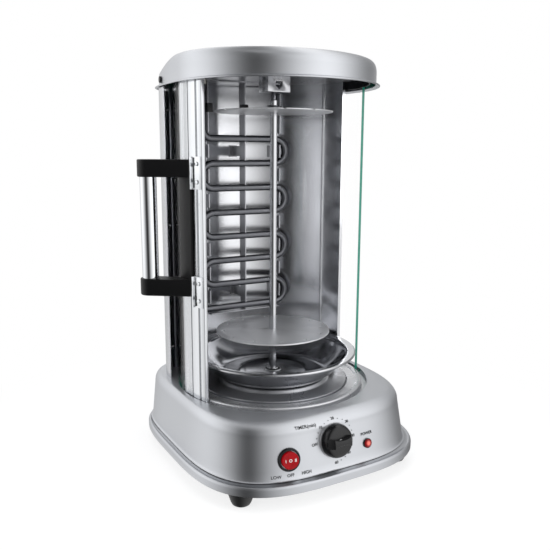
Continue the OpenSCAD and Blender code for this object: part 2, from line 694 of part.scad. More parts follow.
module ceiling_plate() {
    tab_bottom = ceiling_z - tab_h - cap_screw_z;
    color([0.25, 0.25, 0.27]) difference() {
        union() {
            translate([0, 0, ceiling_z]) linear_extrude(height = ceiling_t)
                polygon(cap_outline(ceiling_hw, ceiling_hw, ceiling_back));
            at_tabs() translate([-cap_t - 1.5, -6, tab_bottom]) cube([1.2, 12, tab_h + 0.5]);
        }
        for (p = post_at) translate([p[0], p[1], ceiling_z - 1]) cylinder(r = screw_r + 0.3, h = 4);
        for (x = leg_at) translate([x, heater_y, ceiling_z - 1]) cylinder(r = insulator_r, h = 4);
        for (x = hanger_holes) translate([x, hanger_y, ceiling_z - 1]) cylinder(r = 1.7, h = 4);
        at_tabs() rotate([0, -90, 0]) cylinder(r = 1.2, h = 8);
    }
}

// Guides the top of the door between its rim and the cap's wall
module top_track() {
    depth = 9;
    outer = cap_r - cap_t - 0.2;
    color([0.2, 0.2, 0.22]) translate([0, 0, ceiling_z]) turned([[slot_ri - track_t, 0], [outer, 0],
        [outer, -track_t], [slot_ri, -track_t], [slot_ri, -depth], [slot_ri - track_t, -depth]]);
}

hanger_y = -2;
hanger_depth = 20;
hanger_z = 316.5;
hanger_holes = [-8, 8];
hanger_t = 1.2;
// Box-shaped bracket under the ceiling; the spit's tip turns in the hole of its floor
module hanger() {
    w = hanger_w / 2;
    front = hanger_y - hanger_depth / 2;
    h = ceiling_z - z0 - hanger_z;
    color("gainsboro") translate([0, 0, z0 + hanger_z]) difference() {
        translate([-w, front, 0]) cube([hanger_w, hanger_depth, h]);
        translate([-w + hanger_t, front + hanger_t, hanger_t])
            cube([hanger_w - 2 * hanger_t, hanger_depth, h - 2 * hanger_t]);
        translate([0, 0, -1]) cylinder(r = tip_r + 0.6, h = 4);
        translate([0, front + hanger_t + 1, 0]) rotate([90, 0, 0]) linear_extrude(height = hanger_t + 2)
            polygon([[-4, h - 6], [4, h - 6], [4, 6], [0, 2.2], [-4, 6]]);
        for (x = hanger_holes) translate([x, hanger_y, h - 3]) cylinder(r = 1.7, h = 5);
    }
}

// The crown, for sides, front and back: how far it draws in, and how round the bend is, as an
// exponent (1 is a straight slope, more is a tighter bend at the wall)
crown_side = [22.4, 5.95];
crown_front = [31.6, 2.04];
crown_back = [90, 1.27];
crown_at = [0, 0.1, 0.2, 0.35, 0.5, 0.65, 0.78, 0.88, 0.95, 0.99, 1];
function drawn_in(side, h) = side[0] * (1 - pow(1 - pow(h, side[1]), 1 / side[1]));

// The cap's skin, from the rolled edge to the crown, t inside the outer face
function cap_ring(out, lean, z) = [cap_outline(cap_r + out, cap_r + out, cap_back + lean + out), z];
function cap_rings(t, edge) = let (z = cap_z, e = edge - t) concat(
    edge > 0 ? [cap_ring(e - 0.6, cap_lean, z), cap_ring(e, cap_lean, z + 0.6), cap_ring(e, cap_lean, z + 1.5),
        cap_ring(0.6, cap_lean, z + 2.3), cap_ring(0, cap_lean, z + 2.8)] : [cap_ring(-t, cap_lean, z - 1)],
    [for (h = crown_at) [cap_outline(cap_r - t - drawn_in(crown_side, h), cap_r - t - drawn_in(crown_front, h),
        cap_back - t - drawn_in(crown_back, h)), cap_top - t - crown_h * (1 - h)]]);

module cap() {
    color("silver") difference() {
        skin(cap_rings(0, cap_edge));
        skin(cap_rings(cap_t, 0));
        at_tabs() translate([3, 0, 0]) rotate([0, -90, 0]) cylinder(r = 1.8, h = 6);
    }
}

module cap_screws() {
    color([0.12, 0.12, 0.13]) {
        at_tabs() translate([0.04, 0, 0]) rotate([0, -90, 0]) screw(3.4, 2, 1.19, 3.4);
        for (p = post_at) {
            translate([p[0], p[1], ceiling_z + ceiling_t]) mirror([0, 0, 1]) screw(3.6, 2, screw_r - 0.31, 16);
            translate([p[0], p[1], deck_under]) screw(3.6, 2, screw_r - 0.31, 16);
        }
        for (x = hanger_holes) translate([x, hanger_y, ceiling_z + ceiling_t]) mirror([0, 0, 1])
            screw(2.8, 1.6, 1.68, 4);
    }
}

// ---------------------------------------------------------------- door and handle

door_bottom = deck_z - slot_depth + 0.8;
door_top = ceiling_z - track_t - 1;
shoe_h = 1.8;
stile_a1 = stile_a0 + stile_sweep;
glass_a1 = stile_a0 + 10;
stile_ri = slot_ri + slot_gap;
stile_ro = slot_ro - slot_gap;

module door_glass() {
    color([0.6, 0.85, 0.8, 0.35]) arc_band(glass_ri, glass_ri + glass_t, glass_a0, glass_a1, door_bottom, door_top);
}

// Drawn metal stile: a channel for the glass, two fine grooves outside
module door_stile() {
    color("gainsboro") difference() {
        arc_band(stile_ri, stile_ro, stile_a0, stile_a1, door_bottom + shoe_h, door_top - shoe_h);
        arc_band(glass_ri, glass_ri + glass_t, stile_a0 - 1, glass_a1, door_bottom, door_top);
        for (a = [stile_a1 - 6.6, stile_a1 - 3.4])
            arc_band(stile_ro - 0.5, stile_ro + 1, a, a + 0.5, door_bottom, door_top);
    }
}

module door_shoes() {
    color([0.09, 0.09, 0.1]) for (z = [door_bottom, door_top - shoe_h])
        arc_band(stile_ri, stile_ro, glass_a1 + 0.3, stile_a1, z, z + shoe_h);
}

strip_t = 3;
strip_a0 = stile_a0 + 1.5;
strip_a1 = stile_a0 + 14.3;
grip_a = stile_a0 - 3.5;
grip_at = [grip_r * cos(grip_a), grip_r * sin(grip_a)];
arm_r = grip_d / 2 + 2.2;
socket = 7;                         // depth of the tube's seat in an arm

module arm_outline() {
    hull() {
        translate(grip_at) circle(r = arm_r, $fn = 64);
        for (a = [strip_a0 + 1, strip_a1 - 1])
            rotate([0, 0, a]) translate([stile_ro + 2, 0]) circle(r = 0.8, $fn = 16);
    }
}

// Black moulding: a strip on the stile and two arms that hold the tube
module handle_frame() {
    arms = [handle_z, handle_z + handle_len - arm_h];
    color([0.09, 0.09, 0.1]) translate([0, 0, z0]) difference() {
        union() {
            arc_band(stile_ro, stile_ro + strip_t, strip_a0, strip_a1, handle_z + 0.6, handle_z + handle_len - 0.6);
            for (z = arms) translate([0, 0, z]) linear_extrude(height = arm_h) difference() {
                arm_outline();
                circle(r = stile_ro + strip_t / 2);
            }
        }
        translate([grip_at[0], grip_at[1], handle_z + arm_h - socket])
            cylinder(r = grip_d / 2, h = handle_len - 2 * arm_h + 2 * socket);
    }
}

module handle_tube() {
    color("white") translate([grip_at[0], grip_at[1], z0 + handle_z + arm_h - socket]) difference() {
        cylinder(r = grip_d / 2, h = handle_len - 2 * arm_h + 2 * socket);
        translate([0, 0, -1]) cylinder(r = grip_d / 2 - 1, h = handle_len);
    }
}

clip_h = 32;
clip_at = [handle_z - 10, handle_z + handle_len - clip_h + 3];
clip_a0 = strip_a1 + 0.3;
clip_a1 = stile_a1 - 1;
module handle_clips() {
    color("gainsboro") translate([0, 0, z0]) for (z = clip_at) {
        arc_band(stile_ro, stile_ro + 1.2, clip_a0, clip_a1, z, z + clip_h);
        arc_band(stile_ro + 1.2, stile_ro + 4, clip_a0, clip_a0 + 0.7, z, z + clip_h);
    }
}

module handle_screws() {
    color("gray") translate([0, 0, z0]) for (z = clip_at, dz = [7, clip_h - 7])
        rotate([0, 0, (clip_a0 + clip_a1) / 2 + 0.6]) translate([stile_ro + 1.2, 0, z + dz])
            rotate([0, 90, 0]) cylinder(r = 2.2, h = 1.1);
}

// ---------------------------------------------------------------- controls

knob_h = 15;
knob_gap = 1.2;          // the knob's skirt stands off the face
timer_shaft_r = 3;
module timer_knob() {
    color([0.09, 0.09, 0.1]) on_face(knob_x, knob_z) difference() {
        union() {
            translate([0, -knob_gap - 5, 0]) rotate([-90, 0, 0])
                cylinder(r1 = knob_d / 2 - 1.4, r2 = knob_d / 2, h = 5);
            translate([0, -knob_gap - 9, 0]) rotate([-90, 0, 0])
                cylinder(r1 = knob_d / 2 - 2.6, r2 = knob_d / 2 - 1.4, h = 4);
            intersection() {
                translate([-knob_d / 2, -knob_h - knob_gap, -4]) cube([knob_d, 8, 8]);
                translate([0, -knob_h - knob_gap, 0]) rotate([-90, 0, 0])
                    cylinder(r1 = knob_d / 2 - 7, r2 = knob_d / 2 - 1.6, h = 8);
            }
        }
        face_bar(timer_shaft_r, -11, 2);
        face_bar(timer_bush_r + 4.6, -knob_gap - 3.4, 1);
    }
}

module timer_shaft() {
    color("lightgray") on_face(knob_x, knob_z) face_bar(timer_shaft_r, -11, 12);
}

timer_w = 34;
timer_deep = 18;
timer_low = 15;
timer_high = 12.5;
module timer_body() {
    color([0.82, 0.8, 0.72]) on_face(knob_x, knob_z) difference() {
        union() {
            translate([-timer_w / 2, base_wall + 0.5, -timer_low])
                cube([timer_w, timer_deep, timer_low + timer_high]);
            face_bar(timer_bush_r, -3, base_wall + 2);
        }
        face_bar(timer_shaft_r + run_gap, -4, 13);
    }
}

module timer_nut() {
    color("gray") on_face(knob_x, knob_z) difference() {
        translate([0, -2.2, 0]) rotate([-90, 0, 0]) cylinder(r = 8, h = 2.2, $fn = 6);
        face_bar(timer_bush_r + 0.02, -3, 1);
    }
}

well_r = switch_d / 2 - 2.4;      // the well in which the rocker tips
well_y = 3.4;
rocker_r = well_r - 0.7;
pivot_r = 1.2;
pivot_y = -0.2;
rocker_out = 6;        // how far the rocker stands out of the face
rocker_dish_r = 30;
module switch_housing() {
    color([0.09, 0.09, 0.1]) on_face(switch_x, switch_z) difference() {
        union() {
            translate([0, -2.4, 0]) rotate([-90, 0, 0]) cylinder(r1 = switch_d / 2 - 0.8, r2 = switch_d / 2, h = 2.4);
            face_bar(switch_bore_r, -0.5, 17);
        }
        face_bar(well_r, -4, well_y);
        translate([0, pivot_y, -well_r - 0.9]) cylinder(r = pivot_r + run_gap, h = 2 * well_r + 1.8);
    }
}

// The lit rocker, dished in the middle, tips left and right on its upright pivot
module switch_rocker() {
    color("red") on_face(switch_x, switch_z) {
        difference() {
            face_bar(rocker_r, -rocker_out, 1.4);
            translate([0, -rocker_out - rocker_dish_r + 1.2, 0]) cylinder(r = rocker_dish_r, h = 40, center = true);
        }
        for (s = [-1, 1]) translate([0, pivot_y, s > 0 ? rocker_r - 1.5 : -well_r - 0.7])
            cylinder(r = pivot_r, h = well_r - rocker_r + 2.2);
    }
}

module switch_terminals() {
    color("gold") on_face(switch_x, switch_z) for (x = [-5, 0, 5])
        translate([x - 0.4, 17, -3]) cube([0.8, 7, 6]);
}

module lamp_lens() {
    color("red") on_face(lamp_x, lamp_z) translate([0, -0.6, 0]) rotate([90, 0, 0]) rotate_extrude()
        polygon([[0, 0], [lamp_bore_r, 0], [lamp_bore_r - 0.4, 1.6], [lamp_bore_r - 1.4, 2.6], [0, 3.2]]);
}

module lamp_body() {
    color([0.09, 0.09, 0.1]) on_face(lamp_x, lamp_z) {
        difference() {
            face_bar(lamp_d / 2, -1.4, 0);
            face_bar(lamp_bore_r, -3, -0.6);
        }
        face_bar(lamp_bore_r, -0.2, 14);
        difference() {
            translate([0, base_wall + 0.8, 0]) rotate([-90, 0, 0]) cylinder(r = lamp_bore_r + 2, h = 2.6, $fn = 6);
            face_bar(lamp_bore_r - 0.01, 0, 6);
        }
    }
}

// ---------------------------------------------------------------- wiring pieces

inside_floor = foot_h + tray_wall;
module terminal_block() {
    color("white") translate([46, 66, inside_floor]) difference() {
        cube([34, 18, 16]);
        for (x = [6, 17, 28], y = [4.5, 13.5]) translate([x, y, 8]) cylinder(r = 2.2, h = 9);
        for (x = [6, 17, 28]) translate([x, -1, 6]) rotate([-90, 0, 0]) cylinder(r = 1.8, h = 20);
    }
}

// Overheat cut-out, clipped under the centre plate
module thermal_cutout() {
    color([0.2, 0.2, 0.22]) translate([-44, 20, z0 + step_h - 1.2 - 8]) {
        cylinder(r = 7, h = 8);
        for (s = [-1, 1]) translate([s * 3 - 0.4, -3, -7]) cube([0.8, 6, 8]);
    }
}

// Bush in the back wall where the supply enters
module cord_inlet() {
    y = wall_back(wall_t(inlet_z - z0)) - inlet_bow;
    color([0.09, 0.09, 0.1]) translate([inlet_x, y, inlet_z]) rotate([-90, 0, 0]) difference() {
        union() {
            translate([0, 0, -5]) cylinder(r = inlet_r, h = 7);
            translate([0, 0, 0.8]) cylinder(r = inlet_r + 2.5, h = 3);
        }
        translate([0, 0, -6]) cylinder(r = 3.6, h = 14);
    }
}
inlet_bow = let (t = wall_t(inlet_z - z0), hy = (wall_back(t) - wall_front(t)) / 2)
    hy - hy * pow(1 - pow(inlet_x / wall_hx(t), base_square + rear_square), 1 / (base_square + rear_square));

// ---------------------------------------------------------------- nodes

base_housing();
bottom_tray();
for (i = [0 : 3]) foot(foot_at[i]);
foot_screws();
base_screws();
door_track();
centre_plate();
motor_bracket();
motor_screws();
gear_motor();
motor_shaft();
drive_coupling();
spit_shaft();
spit_tip();
drip_ring();
spit_drive_pin();
lower_plate();
lower_hub();
upper_disc();
upper_hub();
drip_tray();
tray_collar();
reflector();
heater_element();
heater_frame();
heater_clamps();
heater_insulators();
corner_posts();
rear_cover();
cover_screws();
ceiling_plate();
top_track();
hanger();
cap();
cap_screws();
door_glass();
door_stile();
door_shoes();
handle_frame();
handle_tube();
handle_clips();
handle_screws();
timer_knob();
timer_shaft();
timer_body();
timer_nut();
switch_rocker();
switch_housing();
switch_terminals();
lamp_lens();
lamp_body();
terminal_block();
thermal_cutout();
cord_inlet();
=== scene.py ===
import bpy
import bmesh
import json
import math
from mathutils import Matrix, Vector


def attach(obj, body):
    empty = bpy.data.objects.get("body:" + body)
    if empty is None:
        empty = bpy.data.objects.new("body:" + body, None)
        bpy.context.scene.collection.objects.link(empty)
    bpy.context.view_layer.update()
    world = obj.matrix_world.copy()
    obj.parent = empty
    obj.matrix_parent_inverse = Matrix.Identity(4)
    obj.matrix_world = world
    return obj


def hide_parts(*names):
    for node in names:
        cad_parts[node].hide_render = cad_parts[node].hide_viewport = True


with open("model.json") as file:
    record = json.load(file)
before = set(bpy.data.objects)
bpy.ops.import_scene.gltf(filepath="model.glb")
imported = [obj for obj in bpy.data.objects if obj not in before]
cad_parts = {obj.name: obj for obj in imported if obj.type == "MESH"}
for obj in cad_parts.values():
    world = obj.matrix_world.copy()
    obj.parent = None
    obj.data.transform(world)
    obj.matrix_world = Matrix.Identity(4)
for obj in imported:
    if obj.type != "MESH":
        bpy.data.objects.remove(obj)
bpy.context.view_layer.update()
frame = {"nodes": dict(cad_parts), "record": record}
bodyOf = {node: body for body, nodes in frame["record"]["behaviour"]["bodies"].items() for node in nodes}
slotOf = {part["node"]: part["material_slot"] for part in frame["record"]["subparts"]}
print("frame loaded:", len(frame["nodes"]), "nodes")

mm = 0.001
floorZ = 82.0      # height of the chamber's floor over the table; heights below count from it, in millimetres


def toLinear(hexColour, alpha=1.0):
    # sRGB hex to the linear values that shader sockets take
    values = [int(hexColour[i:i + 2], 16) / 255 for i in (1, 3, 5)]
    return tuple(v / 12.92 if v <= 0.04045 else ((v + 0.055) / 1.055) ** 2.4 for v in values) + (alpha,)


def addNode(tree, kind, settings=None, inputs=None, links=None):
    # one node with its settings, its socket values and the links into it
    node = tree.nodes.new(kind)
    for key, value in (settings or {}).items():
        setattr(node, key, value)
    for key, value in (inputs or {}).items():
        node.inputs[key].default_value = value
    for key, source in (links or {}).items():
        tree.links.new(source, node.inputs[key])
    return node


def newMaterial(name, inputs):
    # a Principled shader on its output; the caller links its patterns into it
    material = bpy.data.materials.new(name)
    material.use_nodes = True
    tree = material.node_tree
    tree.nodes.clear()
    shader = addNode(tree, "ShaderNodeBsdfPrincipled", inputs=inputs)
    addNode(tree, "ShaderNodeOutputMaterial", links={"Surface": shader.outputs["BSDF"]})
    return material, tree, shader


def finishMesh(bm, name, body, material, slot=None, replaces=(), sharp=35, merge=0.01, lift=floorZ,
               recalc=True):
    # millimetres over the chamber's floor become metres over the table; the piece then rides on its body
    if merge:
        bmesh.ops.remove_doubles(bm, verts=bm.verts, dist=merge)
    if recalc:
        bmesh.ops.recalc_face_normals(bm, faces=bm.faces)
    for face in bm.faces:
        face.smooth = True
    for edge in bm.edges:
        edge.smooth = not (len(edge.link_faces) == 2 and edge.calc_face_angle(0) > math.radians(sharp))
    toMetres = Matrix.Diagonal((mm, mm, mm, 1)) @ Matrix.Translation((0, 0, lift))
    bmesh.ops.transform(bm, matrix=toMetres, verts=bm.verts)
    mesh = bpy.data.meshes.new(name)
    bm.to_mesh(mesh)
    bm.free()
    piece = bpy.data.objects.new(name, mesh)
    bpy.context.collection.objects.link(piece)
    for entry in (material if isinstance(material, (list, tuple)) else [material]):
        mesh.materials.append(entry)
    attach(piece, body)
    if replaces:
        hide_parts(*replaces)
    return piece


def drawLoop(bm, points, closed=True):
    # a few vertices joined by edges; points are (x, y, z)
    verts = [bm.verts.new(p) for p in points]
    edges = [bm.edges.new((verts[i], verts[i + 1])) for i in range(len(verts) - 1)]
    if closed:
        edges.append(bm.edges.new((verts[-1], verts[0])))
    return verts, edges


def turnProfile(bm, profile, steps=160, closed=True):
    # full turn of a list of (radius, height) about the spit's axis
    verts, edges = drawLoop(bm, [(r, 0, z) for r, z in profile], closed)
    bmesh.ops.spin(bm, geom=verts + edges, cent=(0, 0, 0), axis=(0, 0, 1), angle=math.tau, steps=steps,
                   use_merge=True)
    bmesh.ops.remove_doubles(bm, verts=bm.verts, dist=0.005)


def sweepProfile(bm, profile, start, end, steps):
    # part turn of a closed list of (radius, height), between two angles seen from above
    a = math.radians(start)
    verts = [bm.verts.new((r * math.cos(a), r * math.sin(a), z)) for r, z in profile]
    face = bm.faces.new(verts)
    bmesh.ops.spin(bm, geom=verts + list(face.edges) + [face], cent=(0, 0, 0), axis=(0, 0, 1),
                   angle=math.radians(end - start), steps=steps)


def raiseOutline(bm, points, low, high, bevel=0.0, segments=2, sharp=25):
    # a flat outline drawn up to a prism, with its edges rounded
    face = bm.faces.new([bm.verts.new((x, y, low)) for x, y in points])
    top = bmesh.ops.extrude_face_region(bm, geom=[face])["geom"]
    raised = [v for v in top if isinstance(v, bmesh.types.BMVert)]
    bmesh.ops.translate(bm, vec=(0, 0, high - low), verts=raised)
    if bevel:
        bmesh.ops.recalc_face_normals(bm, faces=bm.faces)
        roundEdges(bm, bevel, segments, sharp)


def roundEdges(bm, width, segments=2, sharp=25):
    hard = [e for e in bm.edges if len(e.link_faces) == 2 and e.calc_face_angle(0) > math.radians(sharp)]
    bmesh.ops.bevel(bm, geom=hard, offset=width, offset_type="OFFSET", segments=segments, profile=0.5,
                    affect="EDGES", material=-1, clamp_overlap=True)


def loftRings(bm, rings, capFirst=False):
    # a circle takes the first ring's shape, and its edge is drawn on through the others
    count = len(rings[0][0])
    verts = bmesh.ops.create_circle(bm, segments=count, radius=1, cap_ends=False)["verts"]
    placeRing(verts, rings[0])
    first = verts
    for ring in rings[1:]:
        verts = drawOn(bm, verts)
        placeRing(verts, ring)
    if capFirst:
        bm.faces.new(first[::-1])


def drawOn(bm, verts):
    # extrudes a closed ring's edge and gives the new ring's vertices in the same order
    count = len(verts)
    edges = [bm.edges.get((verts[i], verts[(i + 1) % count])) for i in range(count)]
    made = bmesh.ops.extrude_edge_only(bm, edges=edges)["geom"]
    fresh = {v for v in made if isinstance(v, bmesh.types.BMVert)}
    return [next(e.other_vert(v) for e in v.link_edges if e.other_vert(v) in fresh) for v in verts]


def placeRing(verts, ring):
    points, z = ring
    for vert, (x, y) in zip(verts, points):
        vert.co = (x, y, z)


def dressNode(node, material, bevel=0.25, sharp=30, segments=2):
    # a copy of the node's own mesh, welded, with its hard edges rounded
    bm = bmesh.new()
    bm.from_mesh(frame["nodes"][node].data)
    bmesh.ops.scale(bm, vec=(1 / mm, 1 / mm, 1 / mm), verts=bm.verts)
    bmesh.ops.remove_doubles(bm, verts=bm.verts, dist=0.002)
    bmesh.ops.dissolve_limit(bm, angle_limit=math.radians(0.6), verts=bm.verts, edges=bm.edges)
    if bevel:
        roundEdges(bm, bevel, segments, sharp)
    return finishMesh(bm, node + "_dressed", bodyOf[node], material, slotOf[node], [node], sharp=sharp + 5,
                      merge=0, lift=0, recalc=False)


def brushedSteel(name, colour, rough, lines, spread=0.06, bump=0.02, metal=1.0, litTopMetal=None):
    # stainless sheet brushed with a belt: fine lines in one direction make soft streaks in its shine.
    # lines is the stretch of the noise on X, Y and Z, in streaks per metre. What isn't metal scatters as satin
    # does; litTopMetal is the metal's share on faces that look up, lowered there as painted light from above
    material, tree, shader = newMaterial(name, {"Metallic": metal, "Roughness": rough,
                                                "Base Color": toLinear(colour)})
    where = addNode(tree, "ShaderNodeTexCoord")
    # painted light: faces that look up lose some metal, so that the lamps brighten them as light from above
    # would
    if litTopMetal:
        facing = addNode(tree, "ShaderNodeSeparateXYZ", links={0: where.outputs["Normal"]})
        topLit = addNode(tree, "ShaderNodeMapRange", {"interpolation_type": "SMOOTHSTEP"},
                         {"From Min": 0.45, "From Max": 0.95, "To Min": metal, "To Max": litTopMetal},
                         {"Value": facing.outputs["Z"]})
        tree.links.new(topLit.outputs["Result"], shader.inputs["Metallic"])
    scaled = addNode(tree, "ShaderNodeMapping", inputs={"Scale": lines},
                     links={"Vector": where.outputs["Object"]})
    streaks = addNode(tree, "ShaderNodeTexNoise", inputs={"Scale": 1.0, "Detail": 3.0, "Roughness": 0.65},
                      links={"Vector": scaled.outputs["Vector"]})
    clouds = addNode(tree, "ShaderNodeTexNoise", inputs={"Scale": 22.0, "Detail": 2.0},
                     links={"Vector": where.outputs["Object"]})
    both = addNode(tree, "ShaderNodeMath", {"operation": "MULTIPLY_ADD"}, {1: 0.35},
                   {0: clouds.outputs["Fac"], 2: streaks.outputs["Fac"]})
    shine = addNode(tree, "ShaderNodeMapRange", None,
                    {"From Min": 0.35, "From Max": 1.0, "To Min": rough - spread, "To Max": rough + spread},
                    {"Value": both.outputs["Value"]})
    tree.links.new(shine.outputs["Result"], shader.inputs["Roughness"])
    height = addNode(tree, "ShaderNodeBump", inputs={"Strength": bump, "Distance": 0.0002},
                     links={"Height": streaks.outputs["Fac"]})
    tree.links.new(height.outputs["Normal"], shader.inputs["Normal"])
    return material


def polishedSteel(name, colour, rough=0.08, wave=0.015, waveScale=30.0, metal=1.0):
    # pressed and polished sheet: a mirror with the faint unevenness that the press leaves
    material, tree, shader = newMaterial(name, {"Metallic": metal, "Roughness": rough,
                                                "Base Color": toLinear(colour)})
    where = addNode(tree, "ShaderNodeTexCoord")
    swell = addNode(tree, "ShaderNodeTexNoise", inputs={"Scale": waveScale, "Detail": 2.0},
                    links={"Vector": where.outputs["Object"]})
    haze = addNode(tree, "ShaderNodeMapRange", None,
                   {"From Min": 0.3, "From Max": 0.7, "To Min": rough * 0.7, "To Max": rough * 1.6},
                   {"Value": swell.outputs["Fac"]})
    tree.links.new(haze.outputs["Result"], shader.inputs["Roughness"])
    height = addNode(tree, "ShaderNodeBump", inputs={"Strength": wave, "Distance": 0.001},
                     links={"Height": swell.outputs["Fac"]})
    tree.links.new(height.outputs["Normal"], shader.inputs["Normal"])
    return material


def mouldedPlastic(name, colour, rough, grain=900.0, bump=0.05, gloss=0.5):
    # injection moulding: an even colour with the fine spark-eroded grain of the mould
    material, tree, shader = newMaterial(name, {"Roughness": rough, "Base Color": toLinear(colour), "IOR": 1.5,
                                                "Specular IOR Level": gloss})
    where = addNode(tree, "ShaderNodeTexCoord")
    pits = addNode(tree, "ShaderNodeTexNoise", inputs={"Scale": grain, "Detail": 2.0},
                   links={"Vector": where.outputs["Object"]})
    shine = addNode(tree, "ShaderNodeMapRange", None,
                    {"From Min": 0.3, "From Max": 0.7, "To Min": rough - 0.05, "To Max": rough + 0.08},
                    {"Value": pits.outputs["Fac"]})
    tree.links.new(shine.outputs["Result"], shader.inputs["Roughness"])
    height = addNode(tree, "ShaderNodeBump", inputs={"Strength": bump, "Distance": 0.0002},
                     links={"Height": pits.outputs["Fac"]})
    tree.links.new(height.outputs["Normal"], shader.inputs["Normal"])
    return material


def clearPlastic(name, colour, deep, rough, glow=0.0, gloss=0.4, glintSpot=None):
    # tinted polycarbonate: colour in depth, a hard gloss and a glow, which is lamp light on the power lamp and
    # painted light on the rocker and the glass's edge; on the lamp it is brightest round glintSpot, a painted
    # highlight, a place in metres
    material, tree, shader = newMaterial(name, {"Roughness": rough, "Base Color": toLinear(colour),
                                                "IOR": 1.58, "Specular IOR Level": gloss,
                                                "Emission Strength": glow, "Emission Color": toLinear(colour)})
    where = addNode(tree, "ShaderNodeTexCoord")
    depth = addNode(tree, "ShaderNodeTexNoise", inputs={"Scale": 260.0, "Detail": 1.0},
                    links={"Vector": where.outputs["Object"]})
    tint = addNode(tree, "ShaderNodeMix", {"data_type": "RGBA"}, {6: toLinear(colour), 7: toLinear(deep)},
                   {0: depth.outputs["Fac"]})
    tree.links.new(tint.outputs[2], shader.inputs["Base Color"])
    # painted highlight: round glintSpot the lens's emission turns from the deep red to pale red
    if glintSpot:
        away = addNode(tree, "ShaderNodeVectorMath", {"operation": "DISTANCE"}, {1: glintSpot},
                       {0: where.outputs["Object"]})
        near = addNode(tree, "ShaderNodeMapRange", {"interpolation_type": "SMOOTHSTEP"},
                       {"From Min": 0.8 * mm, "From Max": 3.2 * mm, "To Min": 1.0, "To Max": 0.0},
                       {"Value": away.outputs["Value"]})
        paintedGlint = addNode(tree, "ShaderNodeMix", {"data_type": "RGBA"},
                        {6: toLinear(deep), 7: toLinear("#ff8474")}, {0: near.outputs["Result"]})
        tree.links.new(paintedGlint.outputs[2], shader.inputs["Emission Color"])
    return material


def glassSheet(name, colour, rough=0.0):
    # tempered float glass, coated against reflections: clear through its face
    return newMaterial(name, {"Roughness": rough, "Base Color": toLinear(colour), "IOR": 1.06,
                              "Transmission Weight": 1.0})[0]


print("materials")
fineGrain = (1500, 1500, 2600)      # the satin sheets' grain is a third to one millimetre long
steel = {
    # painted light: the housing's upward faces are made lighter under the lamps
    "housing": brushedSteel("satinSilverHousing", "#bcbec2", 0.37, fineGrain, 0.05, 0.03, litTopMetal=0.78),
    "lip": brushedSteel("satinSilverLip", "#b4b6ba", 0.33, fineGrain, 0.05, 0.03),
    "cap": brushedSteel("satinSilverCap", "#bcbec2", 0.33, fineGrain, 0.05, 0.03),
    "cover": brushedSteel("brushedStainlessCover", "#c9cacd", 0.26, (1800, 1800, 40)),
    "disc": brushedSteel("satinStainlessDisc", "#d6d7da", 0.4, (900, 900, 900), bump=0.01, metal=0.72),
    "ring": polishedSteel("pressedStainlessRing", "#c6c7ca", 0.3, metal=0.8),
    "centre": polishedSteel("darkPolishedPlate", "#a4a5a9", 0.33, metal=0.86),
    "tray": polishedSteel("polishedDripTray", "#c0c1c4", 0.11, 0.02),
    "mirror": polishedSteel("mirrorReflector", "#cfd0d3", 0.17, 0.02, 14.0),
    "spit": polishedSteel("polishedSpit", "#c9cacd", 0.13),
    "chrome": polishedSteel("chromedTube", "#dcdee1", 0.05, 0.004),
    "stile": polishedSteel("brightAluminiumProfile", "#d2d4d7", 0.18, 0.008),
    "sheath": brushedSteel("heaterSheath", "#66676b", 0.32, (500, 500, 500), spread=0.1),
    "plain": brushedSteel("plainSheetSteel", "#9b9ca0", 0.34, (700, 700, 60)),
    "bracket": brushedSteel("bentStainlessBracket", "#cfd0d3", 0.28, (60, 1200, 60)),
    "zinc": brushedSteel("zincPlatedScrews", "#8e8f90", 0.35, (900, 900, 900)),
    "dark": brushedSteel("darkenedSheet", "#3c3d40", 0.4, (300, 300, 300)),
    "ceiling": brushedSteel("satinCeilingSheet", "#a3a4a8", 0.3, (700, 60, 700), metal=0.85),
}
plastic = {
    "arm": mouldedPlastic("blackPhenolicHandle", "#060607", 0.42, 1400, 0.04, gloss=0.25),
    "knob": mouldedPlastic("blackAbsKnob", "#08080a", 0.24, 1500, 0.02, gloss=0.4),
    "bezel": mouldedPlastic("blackNylonBezel", "#08080a", 0.28, 1500, 0.03, gloss=0.3),
    "foot": mouldedPlastic("blackRubberFoot", "#0a0a0b", 0.5, 1100, 0.08, gloss=0.4),
    "shoe": mouldedPlastic("blackNylonShoe", "#161618", 0.4, 1100, 0.05),
    "ceramic": mouldedPlastic("whiteSteatite", "#dddbd4", 0.35, 700, 0.04),
    "case": mouldedPlastic("beigeTimerCase", "#c9c1a8", 0.45, 900, 0.05),
    "print": mouldedPlastic("blackScreenPrint", "#1c1d1f", 0.6, 2000, 0.0),
    "whitePrint": mouldedPlastic("whiteScreenPrint", "#f2f0ee", 0.5, 2000, 0.0),
    "clamp": mouldedPlastic("blackenedClamp", "#1b1b1d", 0.45, 900, 0.05),
}
# painted light: the rocker has no lamp, and its faint red glow is painted
redRocker = clearPlastic("redPolycarbonateRocker", "#a50a14", "#6d070d", 0.3, 0.1, 0.12)
brass = brushedSteel("brassTabs", "#b89a55", 0.3, (700, 700, 700))
glass = glassSheet("temperedGlass", "#ffffff")
# painted light: the faint green glow of the cut edges stands in for light carried along the glass
glassEdge = clearPlastic("greenGlassEdge", "#2f8a76", "#1d6a5a", 0.15, 0.12, 0.5)


base = {"width": 262, "depth": 272, "ahead": 10.6, "square": 3.3, "rear": 1.2, "shelf": 8, "footBack": 4.6,
        "draft": 4.5, "lean": 7.6, "backLean": 1.4, "bottom": -55, "top": -13, "deck": -1,
        "side": 7, "front": 14, "back": 7.5}


